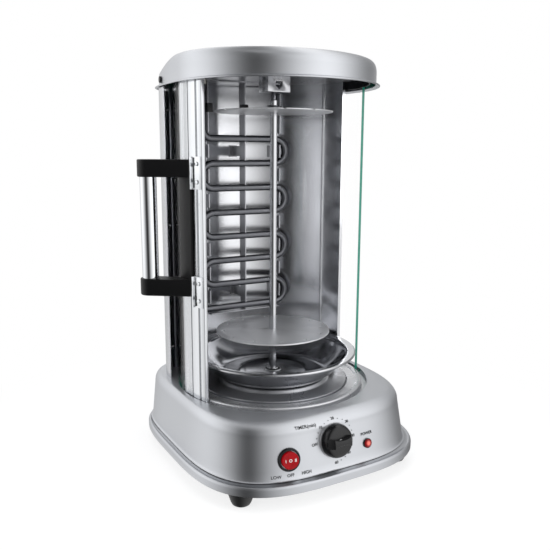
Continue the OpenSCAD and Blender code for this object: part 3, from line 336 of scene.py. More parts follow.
def oval(hx, hy, cy, extra, count=256):
    # superellipse; extra makes the rear corners squarer
    points = []
    for i in range(count):
        a = math.tau * i / count
        c, s = math.cos(a), math.sin(a)
        q = 2 / (base["square"] + (extra if s > 0 else 0))
        points.append((hx * math.copysign(abs(c) ** q, c), cy + hy * math.copysign(abs(s) ** q, s)))
    return points


def wallHalf(t):
    return base["width"] / 2 - base["shelf"] + 0.5 - base["draft"] * t


def wallFront(t):
    return -base["ahead"] - base["depth"] / 2 + base["shelf"] + 0.6 + base["lean"] * t


def wallBack(t):
    return -base["ahead"] + base["depth"] / 2 - base["footBack"] - base["backLean"] * t


def wallRing(t, z, k=0.0, out=0.0):
    # t is the share of the wall's height, k how far the shoulder has bent in, and out a growth all round
    back, front = wallBack(t) - base["back"] * k, wallFront(t) + base["front"] * k
    half = wallHalf(t) - base["side"] * k + out
    return oval(half, (back - front) / 2 + out, (back + front) / 2, base["rear"]), z


def lipRing(inset, z):
    return oval(base["width"] / 2 - inset, base["depth"] / 2 - inset, -base["ahead"], base["rear"] - 0.6), z


def makeHousing():
    height = base["top"] - base["bottom"]
    flare = ((0, 1.7), (0.25, 1.0), (0.7, 0.45), (1.5, 0.12))      # the wall's foot runs out onto the tray
    rings = [wallRing(0, base["bottom"] + z, out=out) for z, out in flare]
    rings += [wallRing(t, base["bottom"] + t * height) for t in (0.07, 0.2, 0.4, 0.6, 0.8, 0.93)]
    for a in range(0, 91, 6):
        k = 1 - math.cos(math.radians(a))
        rings.append(wallRing(1, base["top"] + (base["deck"] - base["top"]) * math.sin(math.radians(a)), k))
    outline = rings[-1][0]
    # the edge round the door's track
    for r, drop in ((109.1, 0), (108.3, 0.12), (108.0, 0.5), (108.0, 1.8)):
        circle = [(r * x / math.hypot(x, y), r * y / math.hypot(x, y)) for x, y in outline]
        rings.append((circle, base["deck"] - drop))
    bm = bmesh.new()
    loftRings(bm, rings)
    return finishMesh(bm, "housingShell", "body", steel["housing"], "housing_steel", ["base_housing"])


def makeLip():
    sections = [(12.5, -66.5), (3.2, -66.5), (1.6, -66.3), (0.6, -65.7), (0.1, -64.6), (0, -63.4), (0, -58.6),
                (0.15, -57.8), (0.5, -57.0), (1.1, -56.35), (1.8, -56.05), (2.5, -56.1), (3.1, -56.3),
                (3.8, -56.35), (6.0, -55.8), (8.0, -55.3), (10.5, -55.1)]
    bm = bmesh.new()
    loftRings(bm, [lipRing(inset, z) for inset, z in sections], capFirst=True)
    return finishMesh(bm, "baseTray", "body", steel["lip"], "housing_steel", ["bottom_tray"])


def makeFeet():
    feet = {"x": 96, "y": 97, "top": 14, "bottom": 9.0}
    low, high = feet["bottom"], feet["top"]      # its radius at the table and under the base
    for i, (sx, sy) in enumerate(((-1, -1), (1, -1), (-1, 1), (1, 1))):
        bm = bmesh.new()
        turnProfile(bm, [(0.01, -78), (4.5, -78), (4.6, -81.5), (4.9, -82), (6.2, -82), (7.8, -81.6),
                         (low, -80.8), (low + 1.4, -78.2), (high - 1.7, -72.4), (high - 0.5, -68.4),
                         (high, -67.2), (high, -66.6), (0.01, -66.6)], 64, closed=False)
        bmesh.ops.translate(bm, vec=(sx * feet["x"], -base["ahead"] + sy * feet["y"], 0), verts=bm.verts)
        finishMesh(bm, "foot%d" % (i + 1), "body", plastic["foot"], "foot_rubber", ["foot_%d" % (i + 1)])


print("base")
makeHousing()
makeLip()
makeFeet()


def makeFloor():
    slot = {"inner": 102.1, "outer": 108.0, "floor": -7.2}
    bm = bmesh.new()
    turnProfile(bm, [(80, -3.2), (84.4, -3.2), (84.9, -3.0), (85.3, -2.4), (85.7, -1.9), (86.3, -1.8),
                     (94.0, -1.8), (95.0, -1.65), (95.8, -1.2), (96.6, -0.55), (97.5, -0.1), (98.4, 0.0),
                     (100.0, 0.0), (100.9, -0.12), (101.6, -0.5), (102.0, -1.1), (slot["inner"], -1.9),
                     (slot["inner"], -6.6), (102.6, slot["floor"]), (107.5, slot["floor"]),
                     (slot["outer"], -6.7), (slot["outer"], -2.9), (108.7, -2.9), (108.7, -8.0),
                     (101.3, -8.0), (101.3, -2.2), (100.8, -1.2), (99.8, -0.8), (98.4, -0.8), (97.2, -1.1),
                     (95.6, -2.3), (94.0, -2.6), (86.3, -2.6), (85.0, -3.4), (84.2, -4.0), (80, -4.0)], 200)
    finishMesh(bm, "doorTrackRing", "body", steel["ring"], "track_steel", ["door_track"], sharp=50)
    bm = bmesh.new()
    turnProfile(bm, [(10.5, 2.8), (60.6, 2.8), (62.0, -1.2), (80.1, -1.2), (80.1, -3.2), (84.0, -3.2),
                     (84.3, -2.9), (84.3, -0.5), (84.1, -0.1), (83.5, 0.0), (64.8, 0.0), (63.8, 0.15),
                     (63.2, 0.6), (62.6, 2.6), (62.2, 3.5), (61.4, 3.95), (60.6, 4.0), (10.9, 4.0),
                     (10.5, 3.8)], 200)
    finishMesh(bm, "centrePlate", "body", steel["centre"], "centre_steel", ["centre_plate"], sharp=50)


def makeTray():
    rest = 4.3      # height of the tray's underside
    under = [(9.3, 2.6), (36.6, 2.6), (38.6, 2.2), (39.8, 0.7), (41.0, 0.05), (56.6, 0), (59.6, 0.35),
             (62.4, 1.4), (65.6, 3.4), (72, 8.6), (79.4, 17.0), (82.6, 22.6)]
    rim = [(84.0, 29.2), (85.2, 30.5), (86.8, 31.1), (93.4, 31.6), (93.6, 30.9), (93.2, 30.3), (93.7, 29.9),
           (94.3, 30.4), (94.5, 31.3), (94.3, 32.2), (93.6, 32.55), (92.8, 32.55), (86.9, 32.0), (85.0, 31.5),
           (83.4, 30.2), (82.0, 27.6)]
    inside = [(78.8, 17.6), (71.5, 9.4), (65.1, 4.2), (62.0, 2.2), (59.4, 1.15), (56.6, 0.8), (41.2, 0.85),
              (40.3, 1.5), (39.1, 3.0), (36.8, 3.4), (9.3, 3.4)]
    bm = bmesh.new()
    turnProfile(bm, [(r, rest + z) for r, z in under] + rim + [(r, rest + z) for r, z in inside], 200)
    finishMesh(bm, "dripTray", "tray", steel["tray"], "tray_steel", ["drip_tray"], sharp=60)
    eyelet = [(8.3, 0.6), (9.3, 0.6), (9.3, 3.4), (10.2, 3.4), (10.25, 3.7), (9.9, 4.2), (9.3, 4.4),
              (8.6, 4.35), (8.3, 4.1)]
    bm = bmesh.new()
    turnProfile(bm, [(r, rest + z) for r, z in eyelet], 72)
    finishMesh(bm, "trayEyelet", "tray", steel["ring"], "spit_steel", ["tray_collar"])


print("chamber floor")
makeFloor()
makeTray()


spit = {"radius": 4.0, "foot": -9, "shoulder": 309, "tip": 2.5, "top": 320.6}


def makeSpit():
    r, tip, foot, shoulder, top = (spit[key] for key in ("radius", "tip", "foot", "shoulder", "top"))
    bm = bmesh.new()
    turnProfile(bm, [(0.01, foot), (r - 0.5, foot), (r, foot + 0.6), (r, shoulder - 0.8), (r - 0.8, shoulder),
                     (tip + 0.2, shoulder), (tip, shoulder + 0.3), (tip, top - 2.2), (tip - 0.9, top - 0.5),
                     (0.01, top)], 48, False)
    finishMesh(bm, "spitShaft", "spit", steel["spit"], "spit_steel", ["spit_shaft", "spit_tip"])
    bm = bmesh.new()
    turnProfile(bm, [(r, 9.2), (6.5, 9.2), (6.8, 9.35), (6.75, 9.7), (6.2, 10.3), (5.9, 10.4), (r, 10.4)], 64)
    finishMesh(bm, "dripRing", "spit", steel["spit"], "spit_steel", ["drip_ring"])
    bm = bmesh.new()
    turnProfile(bm, [(r, 45.9), (7.4, 45.9), (8.0, 46.5), (8.0, 50.6), (7.2, 51.0), (7.2, 51.8), (8.0, 52.2),
                     (8.0, 53.9), (r, 53.9)], 64)
    finishMesh(bm, "lowerHub", "spit", steel["spit"], "spit_steel", ["lower_hub"])


print("spit")
makeSpit()
dressNode("lower_plate", steel["disc"], 0.45, segments=3)
dressNode("upper_disc", steel["disc"], 0.4, segments=3)
dressNode("upper_hub", steel["spit"], 0.3)
dressNode("spit_drive_pin", steel["zinc"], 0.3)


reflector = {"outer": 100.8, "sheet": 0.8, "start": 5, "height": 333.6, "ribs": (23.5, 84.0, 156.5),
             "rib": 0.9, "ribTurn": 0.75, "flange": 4, "flangeTurn": 0.6, "steps": 640}


def makeReflector():
    ro, ri, top = reflector["outer"], reflector["outer"] - reflector["sheet"], reflector["height"]
    a0, a1 = reflector["start"], 180 - reflector["start"]
    inner, outer = [], []
    for i in range(reflector["steps"] + 1):
        a = a0 + (a1 - a0) * i / reflector["steps"]
        # the sheet's seams are folded inwards to narrow ribs
        near = max(max(0.0, 1 - abs(a - rib) / reflector["ribTurn"]) for rib in reflector["ribs"])
        fold = reflector["rib"] * min(1, 2 * near)
        c, s = math.cos(math.radians(a)), math.sin(math.radians(a))
        inner.append(((ri - fold) * c, (ri - fold) * s))
        outer.append((ro * c, ro * s))
    bm = bmesh.new()
    raiseOutline(bm, outer + inner[::-1], 0, top)
    lip, turn = ro - reflector["flange"], reflector["flangeTurn"]      # its upright edges are bent in
    for start in (a0, a1 - turn):
        sweepProfile(bm, [(lip, 0), (ri, 0), (ri, top), (lip, top)], start, start + turn, 2)
    finishMesh(bm, "reflectorSheet", "body", steel["mirror"], "reflector_steel", ["reflector"], merge=0)


heater = {"tube": 4.0, "rows": 8, "pitch": 28.5, "half": 41.0, "y": 69.0, "z": 69.7, "bend": 10.0,
          "end": 339.8, "topLeg": -53.0, "riser": -64.75}


def heaterPath():
    # centre line from the riser's end down, back and forth, and up the other leg
    h = heater
    radius, points = h["pitch"] / 2, []

    def arc(cx, cz, r, a0, a1, steps=14):
        for i in range(steps + 1):
            a = math.radians(a0 + (a1 - a0) * i / steps)
            points.append((cx + r * math.cos(a), h["y"], cz + r * math.sin(a)))

    points.append((h["riser"], h["y"], h["end"]))
    arc(h["riser"] + h["bend"], h["z"] + h["bend"], h["bend"], 180, 270)
    for i in range(h["rows"] - 1):
        z = h["z"] + (i + 0.5) * h["pitch"]
        if i % 2 == 0:
            arc(h["half"], z, radius, -90, 90)
        else:
            arc(-h["half"], z, radius, 270, 90)
    last = h["z"] + (h["rows"] - 1) * h["pitch"]
    arc(h["topLeg"] + h["bend"], last + h["bend"], h["bend"], 270, 180)
    points.append((h["topLeg"], h["y"], h["end"]))
    return points


def makeHeater():
    # a circle of corners is drawn along the centre line, ring by ring
    path = [Vector(p) for p in heaterPath()]
    bm = bmesh.new()
    count = 20      # corners round the tube
    first = verts = bmesh.ops.create_circle(bm, segments=count, radius=1)["verts"]
    side = Vector((0, 1, 0))
    for i, point in enumerate(path):
        ahead = (path[min(i + 1, len(path) - 1)] - path[max(i - 1, 0)]).normalized()
        other = ahead.cross(side).normalized()
        if i:
            verts = drawOn(bm, verts)
        for k, vert in enumerate(verts):
            a = math.tau * k / count
            vert.co = point + (side * math.cos(a) + other * math.sin(a)) * heater["tube"]
    for end in (first, verts):
        bm.faces.new(end)
    finishMesh(bm, "heaterTube", "body", steel["sheath"], "heater_tube", ["heater_element"], merge=0)


print("heater")
makeReflector()
makeHeater()
dressNode("heater_frame", steel["plain"], 0)
dressNode("heater_clamps", plastic["clamp"], 0.4)
dressNode("heater_insulators", plastic["ceramic"], 0.3)


cap = {"low": 321.4, "top": 351.2, "radius": 108.6, "back": 112.3, "lean": 2.0, "square": 3.6, "edge": 4.0,
       "sheet": 0.7, "crown": 15.9, "side": (22.4, 5.95), "front": (31.6, 2.04), "rear": (90.0, 1.27)}


def capOutline(half, front, back, count=240):
    # half round in front, squarer corners behind
    points = []
    for i in range(count):
        c, v = math.cos(math.tau * i / count), math.sin(math.tau * i / count)
        q = 2 / cap["square"] if v > 0 else 1
        reach = back if v > 0 else front
        points.append((half * math.copysign(abs(c) ** q, c), reach * math.copysign(abs(v) ** q, v)))
    return points


def drawnIn(side, h):
    # how far a side has come in at the share h of the crown's height
    return side[0] * (1 - (1 - h ** side[1]) ** (1 / side[1]))


def makeCap():
    r, b, e, z, t = cap["radius"], cap["back"] + cap["lean"], cap["edge"], cap["low"], cap["sheet"]
    rings = []
    for h in (1, 0.998, 0.99, 0.975, 0.95, 0.92, 0.88, 0.83, 0.77, 0.7, 0.62, 0.53, 0.44, 0.35, 0.26, 0.18,
              0.11, 0.05, 0):
        outline = capOutline(r - drawnIn(cap["side"], h), r - drawnIn(cap["front"], h),
                             cap["back"] - drawnIn(cap["rear"], h))
        rings.append((outline, cap["top"] - cap["crown"] * (1 - h)))
    for out, dz in ((0, 3.2), (0.25, 2.6), (0.9, 2.2), (2.4, 1.95), (e - 0.9, 1.75), (e - 0.2, 1.3), (e, 0.75),
                    (e - 0.25, 0.25), (e - 0.8, 0), (e - 1.6, 0.2), (e - 2.0, 0.9), (0.9, 1.35), (-t, 1.9),
                    (-t, 12.0)):
        rings.append((capOutline(r + out, r + out, b + out), z + dz))
    bm = bmesh.new()
    loftRings(bm, rings, capFirst=True)
    finishMesh(bm, "capShell", "body", steel["cap"], "cap_steel", ["cap"], sharp=60)


def makeCover():
    # a U-shaped sheet with large rounded corners
    half, back, corner, front, sheet = 106.5, 110.8, 58.7, 48, 0.8
    outer, inner = [], []
    for points, off in ((outer, 0), (inner, sheet)):
        points.append((half - off, front))
        for sign, start in ((1, 0), (-1, 90)):
            for i in range(25):
                a = math.radians(start + 90 * i / 24)
                points.append((sign * (half - corner) + (corner - off) * math.cos(a),
                               back - corner + (corner - off) * math.sin(a)))
        points.append((-half + off, front))
    bm = bmesh.new()
    raiseOutline(bm, outer + inner[::-1], -1, 321.4)
    finishMesh(bm, "rearCover", "body", steel["cover"], "cover_steel", ["rear_cover"])


def makeTopTrack():
    bm = bmesh.new()
    inner, outer, sheet, low, top = 101.3, 107.6, 0.8, 324.6, 333.6
    turnProfile(bm, [(inner, top), (outer, top), (outer, top - sheet), (inner + sheet, top - sheet),
                     (inner + sheet, low), (inner, low)])
    finishMesh(bm, "topTrackRing", "body", steel["dark"], "dark_sheet", ["top_track"])


print("cap and cover")
makeCap()
makeCover()
makeTopTrack()
for node, material, bevel in (("corner_posts", steel["plain"], 0.4), ("ceiling_plate", steel["ceiling"], 0),
                              ("hanger", steel["bracket"], 0.3), ("cover_screws", steel["zinc"], 0.3),
                              ("cap_screws", plastic["clamp"], 0.3)):
    dressNode(node, material, bevel)


door = {"glassR": 104.0, "glass": 3.0, "edge": -12, "glassEnd": 188, "low": -6.4, "high": 331.8,
        "stileOut": 107.5, "stileStart": 178}
grip = {"tube": 8.5, "radius": 139.0, "angle": 174.5, "low": 108.0, "length": 138.5, "arm": 17.5, "seat": 7.0,
        "wall": 2.2}


def onCircle(radius, angle):
    # a point on a circle about the origin, at an angle in degrees
    return radius * math.cos(math.radians(angle)), radius * math.sin(math.radians(angle))


def makeGlass():
    ri, ro = door["glassR"], door["glassR"] + door["glass"]
    low, high, ground = door["low"], door["high"], 0.3      # ground is how far the edges are ground off
    bm = bmesh.new()
    sweepProfile(bm, [(ri, low + ground), (ri + ground, low), (ro - ground, low), (ro, low + ground),
                      (ro, high - ground), (ro - ground, high), (ri + ground, high), (ri, high - ground)],
                 door["edge"], door["glassEnd"], 160)
    bmesh.ops.recalc_face_normals(bm, faces=bm.faces)
    for face in bm.faces:      # the cut edges show the glass's green
        flat = abs(face.normal.z) > 0.5 or len(face.verts) > 4
        face.material_index = 1 if flat else 0
    finishMesh(bm, "doorGlass", "door", [glass, glassEdge], "door_glass", ["door_glass"], merge=0)


def makeStile():
    d = door
    low, high = d["low"] + 1.8, d["high"] - 1.8
    # the profile's section, each corner as its angle and radius
    outer = [(178.0, 107.1), (178.5, 107.5), (181.2, 107.5), (181.9, 106.8), (183.6, 106.4), (186.6, 106.4),
             (188.6, 106.8), (189.4, 107.4), (190.0, 107.5), (192.8, 107.5), (195.3, 107.5), (195.7, 107.1),
             (195.8, 106.5), (196.3, 106.5), (196.5, 107.1), (196.9, 107.5), (199.6, 107.5), (200.3, 107.0),
             (200.5, 106.0)]
    inner = [(200.5, 103.8), (200.1, 102.8), (199.5, 102.6), (192, 102.6), (188.05, 102.6)]
    mouth = [(188.05, 107.05), (183, 107.05), (178.0, 107.05)]      # the glass itself fills it
    points = [onCircle(r, a) for a, r in outer + inner + mouth]
    bm = bmesh.new()
    raiseOutline(bm, points, low, high)
    finishMesh(bm, "stileProfile", "door", steel["stile"], "stile_aluminium", ["door_stile"], sharp=28)


def gripCentre():
    return onCircle(grip["radius"], grip["angle"])


def touchPoint(point, centre, radius, side):
    # where a line from point touches a circle
    dx, dy = centre[0] - point[0], centre[1] - point[1]
    far = math.hypot(dx, dy)
    a = math.atan2(dy, dx) + side * math.asin(radius / far)
    reach = math.sqrt(far * far - radius * radius)
    return point[0] + reach * math.cos(a), point[1] + reach * math.sin(a)


def makeHandle():
    g, d = grip, door
    centre = gripCentre()
    a0, a1 = d["stileStart"] + 1.5, d["stileStart"] + 14.3      # the strip that the arms stand on
    low, high = g["low"], g["low"] + g["length"]
    r = d["stileOut"]
    outerR = g["tube"] + g["wall"]
    p1, p2 = onCircle(r, a0), onCircle(r, a1)
    q1, q2 = touchPoint(p1, centre, outerR, -1), touchPoint(p2, centre, outerR, 1)
    start = math.atan2(q1[1] - centre[1], q1[0] - centre[0])
    end = math.atan2(q2[1] - centre[1], q2[0] - centre[0])
    if end < start:
        end += math.tau
    if end - start < math.pi:      # the long way round the tube
        start, end = end, start + math.tau
        p1, p2 = p2, p1
    rim = [(centre[0] + outerR * math.cos(start + (end - start) * i / 40),
            centre[1] + outerR * math.sin(start + (end - start) * i / 40)) for i in range(41)]
    seat = [onCircle(r, a0 + (a1 - a0) * i / 6) for i in range(1, 6)]
    if math.dist(p2, seat[0]) > math.dist(p2, seat[-1]):
        seat.reverse()
    for name, zLow in (("armLower", low), ("armUpper", high - g["arm"])):
        bm = bmesh.new()
        raiseOutline(bm, rim + [p2] + seat + [p1], zLow, zLow + g["arm"], 1.3, 4, 30)
        finishMesh(bm, name, "door", plastic["arm"], "handle_black", ["handle_frame"], sharp=40)
    bm = bmesh.new()
    sweepProfile(bm, [(r, low + 0.6), (r + 3, low + 0.6), (r + 3, high - 0.6), (r, high - 0.6)], a0, a1, 8)
    bmesh.ops.recalc_face_normals(bm, faces=bm.faces)
    roundEdges(bm, 0.8, 3, 40)
    finishMesh(bm, "handleStrip", "door", plastic["arm"], "handle_black", ["handle_frame"], sharp=40)
    bm = bmesh.new()
    zLow, zHigh = low + g["arm"] - g["seat"], high - g["arm"] + g["seat"]
    turnProfile(bm, [(g["tube"] - 1, zLow), (g["tube"], zLow), (g["tube"], zHigh), (g["tube"] - 1, zHigh)], 72)
    bmesh.ops.translate(bm, vec=(centre[0], centre[1], 0), verts=bm.verts)
    finishMesh(bm, "handleTube", "door", steel["chrome"], "handle_chrome", ["handle_tube"], sharp=50)


print("door and handle")
makeGlass()
makeStile()
makeHandle()
dressNode("door_shoes", plastic["shoe"], 0.3)
dressNode("handle_clips", steel["stile"], 0.25)
dressNode("handle_screws", steel["stile"], 0.2)


def faceY(x, z):
    # the front of the wall, and over its top the front of the shoulder
    t = min(1, (z - base["bottom"]) / (base["top"] - base["bottom"]))
    k = 1 - math.cos(math.asin(max(0, min(1, (z - base["top"]) / (base["deck"] - base["top"])))))
    front, half = wallFront(t) + base["front"] * k, wallHalf(t) - base["side"] * k
    hy = (wallBack(t) - base["back"] * k - front) / 2
    return front + hy - hy * (1 - (abs(x) / half) ** base["square"]) ** (1 / base["square"])


faceTilt = math.atan(base["lean"] / (base["top"] - base["bottom"]))


def panel(x, z):
    # on the front face: -Y points out of it, Z up along it
    turn = Matrix.Rotation(math.atan(faceY(x + 0.5, z) - faceY(x - 0.5, z)), 4, "Z")
    return Matrix.Translation((x, faceY(x, z), z)) @ turn @ Matrix.Rotation(-faceTilt, 4, "X")


outward = Matrix.Rotation(math.radians(90), 4, "X")      # turns a profile's axis from Z to -Y, out of the face


def finishOnPanel(bm, where, *args, **settings):
    # the shape was drawn upright at the origin; it goes to its place on the front face
    bmesh.ops.transform(bm, matrix=where @ outward, verts=bm.verts)
    return finishMesh(bm, *args, **settings)


def makeLegend(name, text, size, place, heavy=0.0, body="body", ink="print"):
    # flat print: the letters are outlined, then place puts each of their points on the surface
    curve = bpy.data.curves.new(name, "FONT")
    curve.body, curve.size, curve.offset, curve.resolution_u = text, size, heavy, 4
    curve.align_x = curve.align_y = "CENTER"
    holder = bpy.data.objects.new(name, curve)
    bpy.context.collection.objects.link(holder)
    bm = bmesh.new()
    bm.from_mesh(holder.to_mesh())
    holder.to_mesh_clear()
    bpy.data.objects.remove(holder)
    bpy.data.curves.remove(curve)
    for vert in bm.verts:
        vert.co = place(vert.co.x, vert.co.y)
    finish = "switch_black" if ink == "print" else "rocker_red"
    return finishMesh(bm, name, body, plastic[ink], finish, merge=0, recalc=False)


def onFace(x, z, off=0.3):
    # a function that lays flat points on the front face round a place
    shoulder = base["deck"] - base["top"]

    def place(u, v):
        across, up = x + u, z + v
        if up > base["top"]:      # over the shoulder the print keeps its height along the bend
            up = base["top"] + shoulder * math.sin((up - base["top"]) / (shoulder + 1))
        slopeX = faceY(across + 0.1, up) - faceY(across - 0.1, up)
        slopeZ = faceY(across, up + 0.1) - faceY(across, up - 0.1)
        return Vector((across, faceY(across, up), up)) + Vector((slopeX, -0.2, slopeZ)).normalized() * off
    return place


def makeKnob():
    knob = {"x": -4.5, "z": -26.5, "r": 17.0, "gripLow": 8.4, "gripHigh": 16.0, "waist": 2.4, "ends": 4.8,
            "cutBack": 0.7, "droop": 1.2, "dial": 21.6}
    where = panel(knob["x"], knob["z"])
    r = knob["r"]
    bm = bmesh.new()
    turnProfile(bm, [(3.0, 1.4), (r - 1.2, 1.25), (r, 1.9), (r - 0.1, 4.4), (r - 0.9, 7.0), (r - 1.7, 8.8),
                     (r - 2.8, 9.8), (r - 5, 10.2), (3.0, 10.3)], 96)
    finishOnPanel(bm, where, "knobSkirt", "knob", plastic["knob"], "knob_black", ["timer_knob"], sharp=50)
    # the grip: a bar across the disc, waisted in the middle, its ends cut back to the disc's rim
    half = r - 1.9
    outline = []
    for side in (-1, 1):
        for i in range(33):
            a = side * (1 - 2 * i / 32)
            outline.append((a * half, side * (knob["waist"] + (knob["ends"] - knob["waist"]) * a * a)))
    bm = bmesh.new()
    raiseOutline(bm, outline, knob["gripLow"], knob["gripHigh"], 1.3, 4, 40)
    for vert in bm.verts:
        limit = half - max(0, vert.co.z - knob["gripLow"] - 0.2) * knob["cutBack"]
        vert.co.x *= limit / half
        vert.co.z -= (abs(vert.co.x) / half) ** 2 * knob["droop"] if vert.co.z > 10 else 0
    finishOnPanel(bm, where, "knobGrip", "knob", plastic["knob"], "knob_black", ["timer_knob"], sharp=60)
    bm = bmesh.new()
    turnProfile(bm, [(r - 2.5, 0.1), (r + 0.5, 0.1), (r + 0.7, 0.35), (r + 0.5, 0.7), (r - 2.5, 0.7)], 96)
    finishOnPanel(bm, where, "knobRing", "body", steel["ring"], "screw_steel", sharp=40)
    # dial: 45 degrees for ten minutes, from OFF at nine o'clock, with two dots between the figures
    for i, text in enumerate(("OFF", "10", "20", "30", "40", "50", "60")):
        x, z = onCircle(knob["dial"] + (1.8 if text == "OFF" else 0.5), 180 - 45 * i)
        makeLegend("dial" + text, text, 4.0, onFace(knob["x"] + x, knob["z"] + z), 0.06)
    for i in range(18):
        if i % 3:
            x, z = onCircle(knob["dial"], 180 - 15 * i)
            place = onFace(knob["x"] + x, knob["z"] + z)
            bm = bmesh.new()
            bmesh.ops.create_circle(bm, segments=16, radius=0.5, cap_ends=True)
            for vert in bm.verts:
                vert.co = place(vert.co.x, vert.co.y)
            finishMesh(bm, "dialDot%02d" % i, "body", plastic["print"], "switch_black", merge=0, recalc=False)


def makeSwitch():
    switch = {"x": -56.5, "z": -35.5, "r": 11.5, "rocker": 8.4, "out": 6.0, "dish": 1.1}
    where = panel(switch["x"], switch["z"])
    r, rocker, top = switch["r"], switch["rocker"], switch["out"]
    bm = bmesh.new()
    turnProfile(bm, [(9.1, -3.4), (10.0, -3.4), (10.0, -0.1), (r - 0.2, 0.0), (r, 0.5), (r - 0.3, 1.5),
                     (r - 1.0, 2.2), (r - 1.7, 2.4), (9.4, 2.2), (9.1, 1.6)], 80)
    finishOnPanel(bm, where, "switchBezel", "body", plastic["bezel"], "switch_black", sharp=50)
    bm = bmesh.new()
    turnProfile(bm, [(0.01, -1.0), (rocker, -1.0), (rocker, top - 0.7), (rocker - 0.2, top - 0.2), (7.7, top),
                     (6.5, top), (5, top), (3.5, top), (2, top), (0.01, top)], 72, False)

    def dish(x):
        # dished across, so that one side or the other can be pressed
        return top - switch["dish"] * max(0, 1 - (x / rocker) ** 2)

    for vert in bm.verts:      # only the face is dished
        if vert.co.z > top - 1.4:
            vert.co.z += dish(vert.co.x) - top
    finishOnPanel(bm, where, "switchRocker", "rocker", redRocker, "rocker_red", ["switch_rocker"], sharp=40)
    for name, text, x in (("rockerLow", "I", -5.0), ("rockerOff", "O", 0.0), ("rockerHigh", "II", 5.0)):
        makeLegend(name, text, 4.2, lambda u, v: where @ Vector((x + u, -dish(x + u) - 0.15, v)), 0.05,
                   "rocker", "whitePrint")


def makeLamp():
    lamp = {"x": 35, "z": -38, "glintSpot": (-0.8, -3.4, 0.6)}      # the glint spot is where the painted highlight on the lens is brightest
    where = panel(lamp["x"], lamp["z"])
    centre = where @ Vector(lamp["glintSpot"])
    redLamp = clearPlastic("redPolycarbonateLens", "#8f080e", "#4c0508", 0.15, 0.9, 0.3,
                           glintSpot=(centre.x * mm, centre.y * mm, (centre.z + floorZ) * mm))
    bm = bmesh.new()
    turnProfile(bm, [(0.01, 0.6), (4.4, 0.6), (4.35, 1.5), (3.9, 2.5), (2.9, 3.3), (1.5, 3.7), (0.01, 3.8)],
                48, False)
    finishOnPanel(bm, where, "lampLens", "body", redLamp, "lamp_red", ["lamp_lens"], sharp=40)
    bm = bmesh.new()
    turnProfile(bm, [(4.45, 0.0), (4.95, 0.0), (5.0, 0.5), (4.9, 1.2), (4.7, 1.4), (4.45, 1.2)], 48)
    finishOnPanel(bm, where, "lampRim", "body", plastic["bezel"], "switch_black", sharp=40)


print("controls")
makeKnob()
makeSwitch()
makeLamp()
for name, text, x, z, size in (("legendTimer", "TIMER(min)", -36.3, -6.9, 4.8),
                               ("legendPower", "POWER", 34.7, -28.0, 4.2),
                               ("legendLow", "LOW", -70.3, -50.9, 4.2),
                               ("legendOff", "OFF", -56.1, -50.6, 4.2),
                               ("legendHigh", "HIGH", -39.4, -50.5, 4.4)):
    makeLegend(name, text, size, onFace(x, z), 0.06)
for node, material, bevel in (("timer_shaft", steel["zinc"], 0.3), ("timer_nut", steel["zinc"], 0.2),
                              ("timer_body", plastic["case"], 0.6), ("switch_housing", plastic["bezel"], 0),
                              ("switch_terminals", brass, 0.1), ("lamp_body", plastic["bezel"], 0),
                              ("terminal_block", plastic["ceramic"], 0.4),
                              ("thermal_cutout", plastic["clamp"], 0.3),
                              ("cord_inlet", plastic["bezel"], 0.6), ("motor_bracket", steel["plain"], 0.3),
                              ("gear_motor", steel["plain"], 0.8), ("motor_screws", steel["zinc"], 0.2),
                              ("motor_shaft", steel["zinc"], 0.3), ("drive_coupling", steel["zinc"], 0.4),
                              ("foot_screws", steel["zinc"], 0.2), ("base_screws", steel["zinc"], 0.2)):
    dressNode(node, material, bevel)


def makeCamera():
    # focal is in the photograph's pixels, distance and height in millimetres, the angles in degrees
    lens = {"focal": 656.2, "frame": 550, "sensor": 36, "pitch": 10.66, "roll": 0.24, "yaw": 0.18,
            "distance": 727.0, "height": 254.6, "azimuth": -29.72}
    data = bpy.data.cameras.new("camera")
    data.sensor_width = lens["sensor"]
    data.lens = lens["focal"] * lens["sensor"] / lens["frame"]
    data.clip_start = 0.01
    shot = bpy.data.objects.new("camera", data)
    bpy.context.collection.objects.link(shot)
    az = math.radians(lens["azimuth"])
    place = Vector((math.sin(az), -math.cos(az), 0)) * lens["distance"] * mm
    place.z = (lens["height"] + floorZ) * mm
    turn = Matrix.Rotation(az - math.radians(lens["yaw"]), 4, "Z")
    tilt = Matrix.Rotation(math.radians(90 - lens["pitch"]), 4, "X")
    roll = Matrix.Rotation(math.radians(lens["roll"]), 4, "Z")
    shot.matrix_world = Matrix.Translation(place) @ turn @ tilt @ roll
    bpy.context.scene.camera = shot


